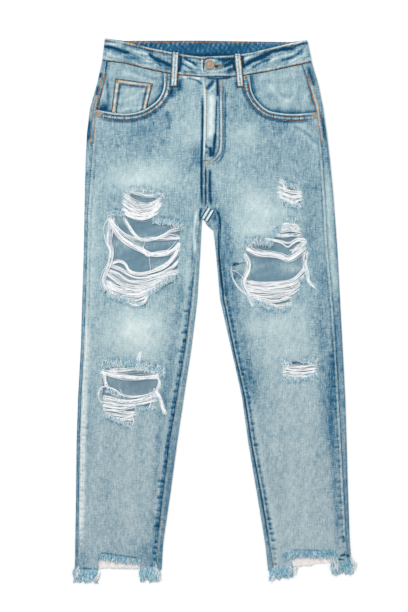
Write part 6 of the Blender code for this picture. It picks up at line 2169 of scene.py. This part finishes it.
FLY_ROWS = (            # the overlap's edge and the two rows that curve round the fly
    ((-15.6, 72), (-13.4, 104), (-14.2, 164), (-15.4, 190), (-15.7, 219)),
    ((15.3, 76), (15.6, 120), (15.7, 190), (14.4, 202), (9.4, 212.5), (0.5, 222.5), (-9.6, 225.5)),
    ((8.6, 76), (9, 120), (9.4, 190), (6.8, 202.4), (1.8, 212), (-4, 218), (-9.6, 221.3)),
)
BUTTONHOLE = ((1.6, 48.6), (5.6, 48.1), (10.4, 48.3), (13.8, 50.6), (11, 52.8), (6.2, 54), (1.2, 55.8))
FRONT_TACKS = (         # bar tacks at the fly, the pocket mouths and the side seam
    ("front_left", ((-20, 219.4), (-10.8, 219.4))),
    ("front_right", ((-85, 62.5), (-84, 71))),
    ("front_left", ((56.5, 66), (57.5, 74))),
    ("front_right", ((-219.5, 186), (-221, 194))),
    ("front_right", ((-205.5, 71), (-198.8, 71.4))),
)
TIGHT = {"tack": (0.0006, (0.2, 0.6)), "hole": (0.0009, (-0.75, -0.45))}      # thickness in metres and shades


def stitch_rows():
    """Every row of stitching: (piece, kind) to its guide lines."""
    rows = {}

    def add(piece, kind, *lines):
        rows.setdefault((piece, kind), []).extend(lines)

    for side in SIDES:
        piece = f"front_{side}"
        for inward in (5.0, 11.8):
            add(piece, "worn", on(front_top, pocket_line(side, inward), 0.3))
        for start, inward in ((62.0, 1.2), (66.0, -4.6)):
            add(piece, "rust", on(front_top, leg_line(side, "side_seam", start, 188.0, inward), 0.4))
        for column, start, end, inward in (("side_seam", 194.0, 950.0, 2.2),
                                           ("inseam", 335.0, 952.0, -1.2 if side == "right" else 0.9)):
            add(piece, "pale", on(front_top, leg_line(side, column, start, end, inward)))
        add(f"yoke_{side}", "worn", on_back(side, -3.0), on_back(side, -8.5))
    for curve in FLY_ROWS:
        add("front_left", "worn", on(front_top, smooth_line(curve)))
    for x in (-18.6, -12.4):
        add("front_left" if x > CENTRE_X else "front_right", "worn", on(front_top, ((x, 226.0), (x, 304.0))))
    for line, shift, start, end in ((WAIST_TOP, 3.0, -194.0, OVERLAP_END - 1.0),
                                    (WAIST_TOP, 3.0, OVERLAP_END + 2.5, 164.0),
                                    (WAIST_SEAM, -1.9, -198.0, OVERLAP_END - 1.0),
                                    (WAIST_SEAM, -1.9, OVERLAP_END + 2.5, 171.0)):
        add("waistband_cloth", "rust", on(band_top, band_line(line, shift, start, end)))
    add("waistband_cloth", "pale", on(band_top, ((-18.0, 37.0), (-17.6, 66.0))))
    low = float(layer(0.0, "back"))
    for line, shift, height, lift in ((BACK_TOP, 2.6, low + BAND, 0.25), (BACK_TOP, 3.0, low, -0.12),
                                      (BACK_SEAM, -2.4, low, -0.12)):
        add("waistband_cloth", "rust", on(level(height), band_line(line, shift, -188.0, 160.0, 90), lift))
    add("waistband_cloth", "hole", tack(band_top, smooth_line(BUTTONHOLE), 2.6, 0.9))
    for side in SIDES:
        x, drop, high = loop_shape(side)[:3]
        for column in (2, 8):
            add(f"loop_front_{side}", "rust",
                point(x[2:-2, column], drop[2:-2, column], high[2:-2, column] + 0.12))
        for row in (2, -3):
            ends = ((x[row, 1], drop[row, 1]), (x[row, -2], drop[row, -2]))
            add(f"loop_front_{side}", "tack", tack(level(float(high[row].mean())), ends))
    x, drop = coin_places()[:2]
    for inward in (2.2, 7.4):
        share = inward / COIN_SIZE[0]
        for at in (share, 1.0 - share):
            column = round(at * (x.shape[1] - 1))
            add("coin_pocket_cloth", "rust",
                on(coin_top, np.column_stack([x[1:, column], drop[1:, column]]), 0.6))
        top = ((x[0, 1], drop[0, 1] + inward), (x[0, -2], drop[0, -2] + inward))
        add("coin_pocket_cloth", "rust", on(coin_top, top, 0.6))
    for column in (2, -3):
        spot = (x[0, column], drop[0, column])
        add("coin_pocket_cloth", "tack", tack(coin_top, (spot, (spot[0], spot[1] + 8.0)), lift=0.5))
    for piece, line in FRONT_TACKS:
        add(piece, "tack", tack(front_top, line))
    (start, wide), (turn_at, narrow), (foot, _) = POCKET_SHAPE
    for side in SIDES:
        piece, middle = f"back_pocket_cloth_{side}", POCKET_X[side]
        for inward in (2.0, 8.0):
            side_foot = turn_at - 0.3 * inward
            line = ((middle - (wide - inward), start + 1.0), (middle - (narrow - inward), side_foot),
                    (middle, foot - 1.1 * inward), (middle + (narrow - inward), side_foot),
                    (middle + (wide - inward), start + 1.0))
            add(piece, "worn", on(level(0.3), line, -0.1))
        add(piece, "worn", on(level(0.3), ((middle - 64.0, start + 4.0), (middle + 64.0, start + 4.0)), -0.1))
    for offset in (-2.4, 2.4):
        line = ((CENTRE_X + offset, 112.0), (CENTRE_X + offset, 300.0))
        add("back_left", "worn", on(back_under, line, -0.12))
    return rows


def make_inseam_end():
    """The thick end of the felled inseam, which crosses the fork at a slant."""
    t, u = shares(30, 19, -1.0)
    x = -5.2 - 12.4 * t + 6.4 * u
    drop = 306.0 + 20.6 * t + 3.9 * u
    from_end = np.minimum(t, 1.0 - t)
    ridge = bell(abs(u), 0.55, 0.2)
    bed = float(layer(330.0, "front")) + DENIM
    high = bed + 1.1 + 0.6 * ridge * smooth01(from_end / 0.1)
    # painted shade along the strip's edges and at its ends, and a groove down its middle darkened partly with painted
    # shade
    tone = 0.25 * ridge - 1.8 * bell(abs(u), 1.0, 0.2) - 0.9 * bell(u, 0.0, 0.16)
    tone = tone - 0.5 * bell(from_end, 0.0, 0.05)
    strip("inseam_end", x, drop, high, np.full(x.shape, bed - 0.3), "washed denim", (), tone, 0.84)


def on_back(side, shift):
    """A row on the outside of the back, at a distance above the yoke seam."""
    points = np.add(YOKE_SEAM[side], (0.0, shift))
    points[0 if side == "right" else -1, 0] -= outward(side) * 26.0
    return on(back_under, points, -0.12)


def make_stitching():
    for (piece, kind), lines in stitch_rows().items():
        name = f"stitching_{kind}_{piece}"
        if kind in TIGHT:
            thickness, shades = TIGHT[kind]
            values = {"thick": [np.full(len(line), thickness) for line in lines],
                      "shade": [np.resize(shades, len(line)) for line in lines]}
            made = grown(name, lines, values, yarn_tree(), {"Sides": 4, "Finish": cotton("rust stitching")})
        else:
            made = grown(name, lines, {}, stitch_tree(),
                         {"Stitch": sizes().stitch, "Gap": sizes().stitch_gap, "Thread": sizes().stitch_width,
                          "Seed": len(name), "Finish": cotton(f"{kind} stitching")})
        settle(made, "washed_denim")


def sewn_to(piece):
    return [f"stitching_{kind}_{piece}" for kind in ("worn", "rust", "pale", "tack", "hole")]


# ---------------------------------------------------------------- metal
BUTTON_CROWN = (        # share of the button's radius, and how far below its top
    (0.99, 0.7), (0.94, 0.2), (0.86, 0), (0.77, 0.15), (0.70, 0.75), (0.66, 0.95), (0.44, 1), (0.40, 0.7),
    (0.34, 0.5), (0.18, 0.3), (0.03, 0.25),
)
RIVET_SHAPE = (         # radius, and height above the rivet's foot
    (3, -0.3), (4.4, 0), (4.5, 0.5), (4.1, 1), (3.4, 1.15), (2.6, 0.9), (1.9, 0.8), (1.5, 1.2), (0.9, 1.6),
    (0.1, 1.7),
)


def make_metal():
    x, drop = BUTTON
    foot = BAND_Z + BAND + float(overlap_rise(np.array(x)))
    top = foot + BUTTON_HEIGHT
    profile = [(0.55 * BUTTON_RADIUS, foot - 0.4), (0.93 * BUTTON_RADIUS, foot), (BUTTON_RADIUS, foot + 0.8)]
    profile += [(share * BUTTON_RADIUS, top - down) for share, down in BUTTON_CROWN]
    settle(turned("button_metal", x, drop, profile, copper()), "copper", ["button"])
    for side, (x, drop) in RIVETS.items():
        foot = float(front_top(np.array([x]), np.array([drop]))[0]) - 0.2
        profile = [(radius, foot + up) for radius, up in RIVET_SHAPE]
        settle(turned(f"rivet_metal_{side}", x, drop, profile, copper(), 32), "copper", [f"rivet_{side}"])


# ---------------------------------------------------------------- stage
LAMP_AT = (-2.2, 3.0, 5.2)      # this and the values below are in metres
LAMP_SIZE = 2.6
CAMERA_OVER = (-0.0183, 0.00945)
CAMERA_LENS = 98.04             # millimetres
FLOOR_Z = -0.0004


def make_stage():
    scene = bpy.context.scene
    settings = scene.jeans_stage
    world = bpy.data.worlds.new("even sky")
    world.use_nodes = True
    sky = world.node_tree.nodes["Background"]
    sky.inputs["Color"].default_value = (1.0, 1.0, 1.0, 1.0)
    sky.inputs["Strength"].default_value = settings.sky
    scene.world = world
    lamp_data = bpy.data.lights.new("soft lamp", "AREA")
    lamp_data.energy = settings.key
    lamp_data.size = LAMP_SIZE
    lamp = bpy.data.objects.new("soft lamp", lamp_data)
    lamp.location = LAMP_AT
    lamp.rotation_euler = (-Vector(LAMP_AT)).to_track_quat("-Z", "Y").to_euler()
    scene.collection.objects.link(lamp)
    ground = bpy.data.materials.new("plain floor")
    ground.use_nodes = True
    shader = ground.node_tree.nodes["Principled BSDF"]
    shader.inputs["Base Color"].default_value = (*colours().floor, 1.0)
    shader.inputs["Roughness"].default_value = 0.9
    shader.inputs["Specular IOR Level"].default_value = 0.1
    mesh = bpy.data.meshes.new("floor")
    mesh.from_pydata([(-6, -6, 0), (6, -6, 0), (6, 6, 0), (-6, 6, 0)], [], [(0, 1, 2, 3)])
    mesh.materials.append(ground)
    floor = bpy.data.objects.new("floor", mesh)
    floor.location.z = FLOOR_Z
    scene.collection.objects.link(floor)
    camera_data = bpy.data.cameras.new("camera")
    camera_data.lens = CAMERA_LENS
    camera_data.clip_end = 20.0
    camera = bpy.data.objects.new("camera", camera_data)
    camera.location = (*CAMERA_OVER, settings.distance)
    scene.collection.objects.link(camera)
    scene.camera = camera
    scene.view_settings.view_transform = "Standard"
    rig.stage(floor)


# ---------------------------------------------------------------- operators and panel
class JEANS_OT_threads(bpy.types.Operator):
    """Strings the bared white threads across the five rips"""
    bl_idname = "jeans.threads"
    bl_label = "Bared Threads"
    bl_options = {"REGISTER", "UNDO"}

    def execute(self, context):
        for rip in RIPS:
            make_threads(rip)
        return {"FINISHED"}


class JEANS_OT_fringe(bpy.types.Operator):
    """Frays the edges of the rips and the torn hems"""
    bl_idname = "jeans.fringe"
    bl_label = "Frayed Edges"
    bl_options = {"REGISTER", "UNDO"}

    def execute(self, context):
        for rip in RIPS:
            make_fringe(rip)
        for side in SIDES:
            make_hem_fringe(side)
        return {"FINISHED"}


class JEANS_OT_stitching(bpy.types.Operator):
    """Sews the topstitching, the bar tacks and the buttonhole"""
    bl_idname = "jeans.stitching"
    bl_label = "Stitching"
    bl_options = {"REGISTER", "UNDO"}

    def execute(self, context):
        make_stitching()
        return {"FINISHED"}


class JEANS_OT_metal(bpy.types.Operator):
    """Makes the button, the two rivets and the closed zip"""
    bl_idname = "jeans.metal"
    bl_label = "Button, Rivets and Zip"
    bl_options = {"REGISTER", "UNDO"}

    def execute(self, context):
        make_metal()
        make_zip()
        declare("zip_tape_cloth", ["front_left"], ["zip_teeth"])
        return {"FINISHED"}


class JEANS_OT_backs(bpy.types.Operator):
    """Makes the back panels, the yokes and the back pockets"""
    bl_idname = "jeans.backs"
    bl_label = "Back"
    bl_options = {"REGISTER", "UNDO"}

    def execute(self, context):
        for side in SIDES:
            make_back_leg(side)
            make_yoke(side)
            make_back_pocket(side)
            declare(f"back_{side}", ["ground"], sewn_to(f"back_{side}"))
            declare(f"yoke_{side}", [f"back_{side}"], sewn_to(f"yoke_{side}"))
            declare(f"back_pocket_cloth_{side}", [f"back_{side}"], sewn_to(f"back_pocket_cloth_{side}"))
        return {"FINISHED"}


class JEANS_OT_fronts(bpy.types.Operator):
    """Makes the two front panels with their rips and torn hems"""
    bl_idname = "jeans.fronts"
    bl_label = "Front Panels"
    bl_options = {"REGISTER", "UNDO"}

    def execute(self, context):
        for side in SIDES:
            make_front(side)
            if side == "left":
                make_inseam_end()
            extras = [f"{kind}_{rip}" for kind in ("bared", "frayed") for rip in RIPS if rip.startswith(side)]
            declare(f"front_{side}", [f"back_{side}"],
                    extras + [f"frayed_hem_{side}", f"rivet_metal_{side}"] + sewn_to(f"front_{side}")
                    + (["inseam_end"] if side == "left" else []))
        return {"FINISHED"}


class JEANS_OT_waistband(bpy.types.Operator):
    """Makes the waistband and the five belt loops"""
    bl_idname = "jeans.waistband"
    bl_label = "Waistband and Loops"
    bl_options = {"REGISTER", "UNDO"}

    def execute(self, context):
        make_waistband()
        declare("waistband_cloth", ["yoke_right", "yoke_left"], ["button_metal"] + sewn_to("waistband_cloth"))
        for side in SIDES:
            make_front_loop(side)
            declare(f"loop_front_{side}", ["waistband_cloth"], sewn_to(f"loop_front_{side}"))
        for place in BACK_LOOP_X:
            make_back_loop(place)
            declare(f"loop_back_{place}", ["waistband_cloth"])
        return {"FINISHED"}


class JEANS_OT_pockets(bpy.types.Operator):
    """Makes the two hip facings and the coin pocket"""
    bl_idname = "jeans.pockets"
    bl_label = "Front Pockets"
    bl_options = {"REGISTER", "UNDO"}

    def execute(self, context):
        for side in SIDES:
            make_facing(side)
            declare(f"facing_{side}", [f"back_{side}"])
        make_coin_pocket()
        declare("coin_pocket_cloth", ["facing_right"], sewn_to("coin_pocket_cloth"))
        return {"FINISHED"}


class JEANS_OT_stage(bpy.types.Operator):
    """Sets the pale floor, the soft light and the camera that looks straight down"""
    bl_idname = "jeans.stage"
    bl_label = "Stage"
    bl_options = {"REGISTER", "UNDO"}

    def execute(self, context):
        make_stage()
        return {"FINISHED"}


STEPS = (JEANS_OT_threads, JEANS_OT_fringe, JEANS_OT_stitching, JEANS_OT_metal, JEANS_OT_backs,
         JEANS_OT_fronts, JEANS_OT_waistband, JEANS_OT_pockets, JEANS_OT_stage)


class VIEW3D_PT_jeans(bpy.types.Panel):
    bl_label = "Ripped Jeans"
    bl_idname = "VIEW3D_PT_jeans"
    bl_space_type = "VIEW_3D"
    bl_region_type = "UI"
    bl_category = "Jeans"

    def draw(self, context):
        layout = self.layout
        for step in STEPS:
            layout.operator(step.bl_idname)
        for title, group in (("Sizes", context.scene.jeans_sizes), ("Colours", context.scene.jeans_colours),
                             ("Stage", context.scene.jeans_stage)):
            box = layout.box()
            box.label(text=title)
            for key in group.bl_rna.properties.keys():
                if key not in ("rna_type", "name"):
                    box.prop(group, key)


CLASSES = (JeansColours, JeansSizes, JeansStage, *STEPS, VIEW3D_PT_jeans)


def register():
    for item in CLASSES:
        bpy.utils.register_class(item)
    bpy.types.Scene.jeans_colours = bpy.props.PointerProperty(type=JeansColours)
    bpy.types.Scene.jeans_sizes = bpy.props.PointerProperty(type=JeansSizes)
    bpy.types.Scene.jeans_stage = bpy.props.PointerProperty(type=JeansStage)


def unregister():
    del bpy.types.Scene.jeans_stage
    del bpy.types.Scene.jeans_sizes
    del bpy.types.Scene.jeans_colours
    for item in reversed(CLASSES):
        bpy.utils.unregister_class(item)


def main():
    register()
    for step in STEPS:
        getattr(bpy.ops.jeans, step.bl_idname.split(".")[1])()
    shown = [list(corner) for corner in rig.bounds()]
    with open("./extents.json", "w") as out:
        json.dump({"cad": CAD_BOX, "shown": shown}, out)


if __name__ == "__main__":
    main()
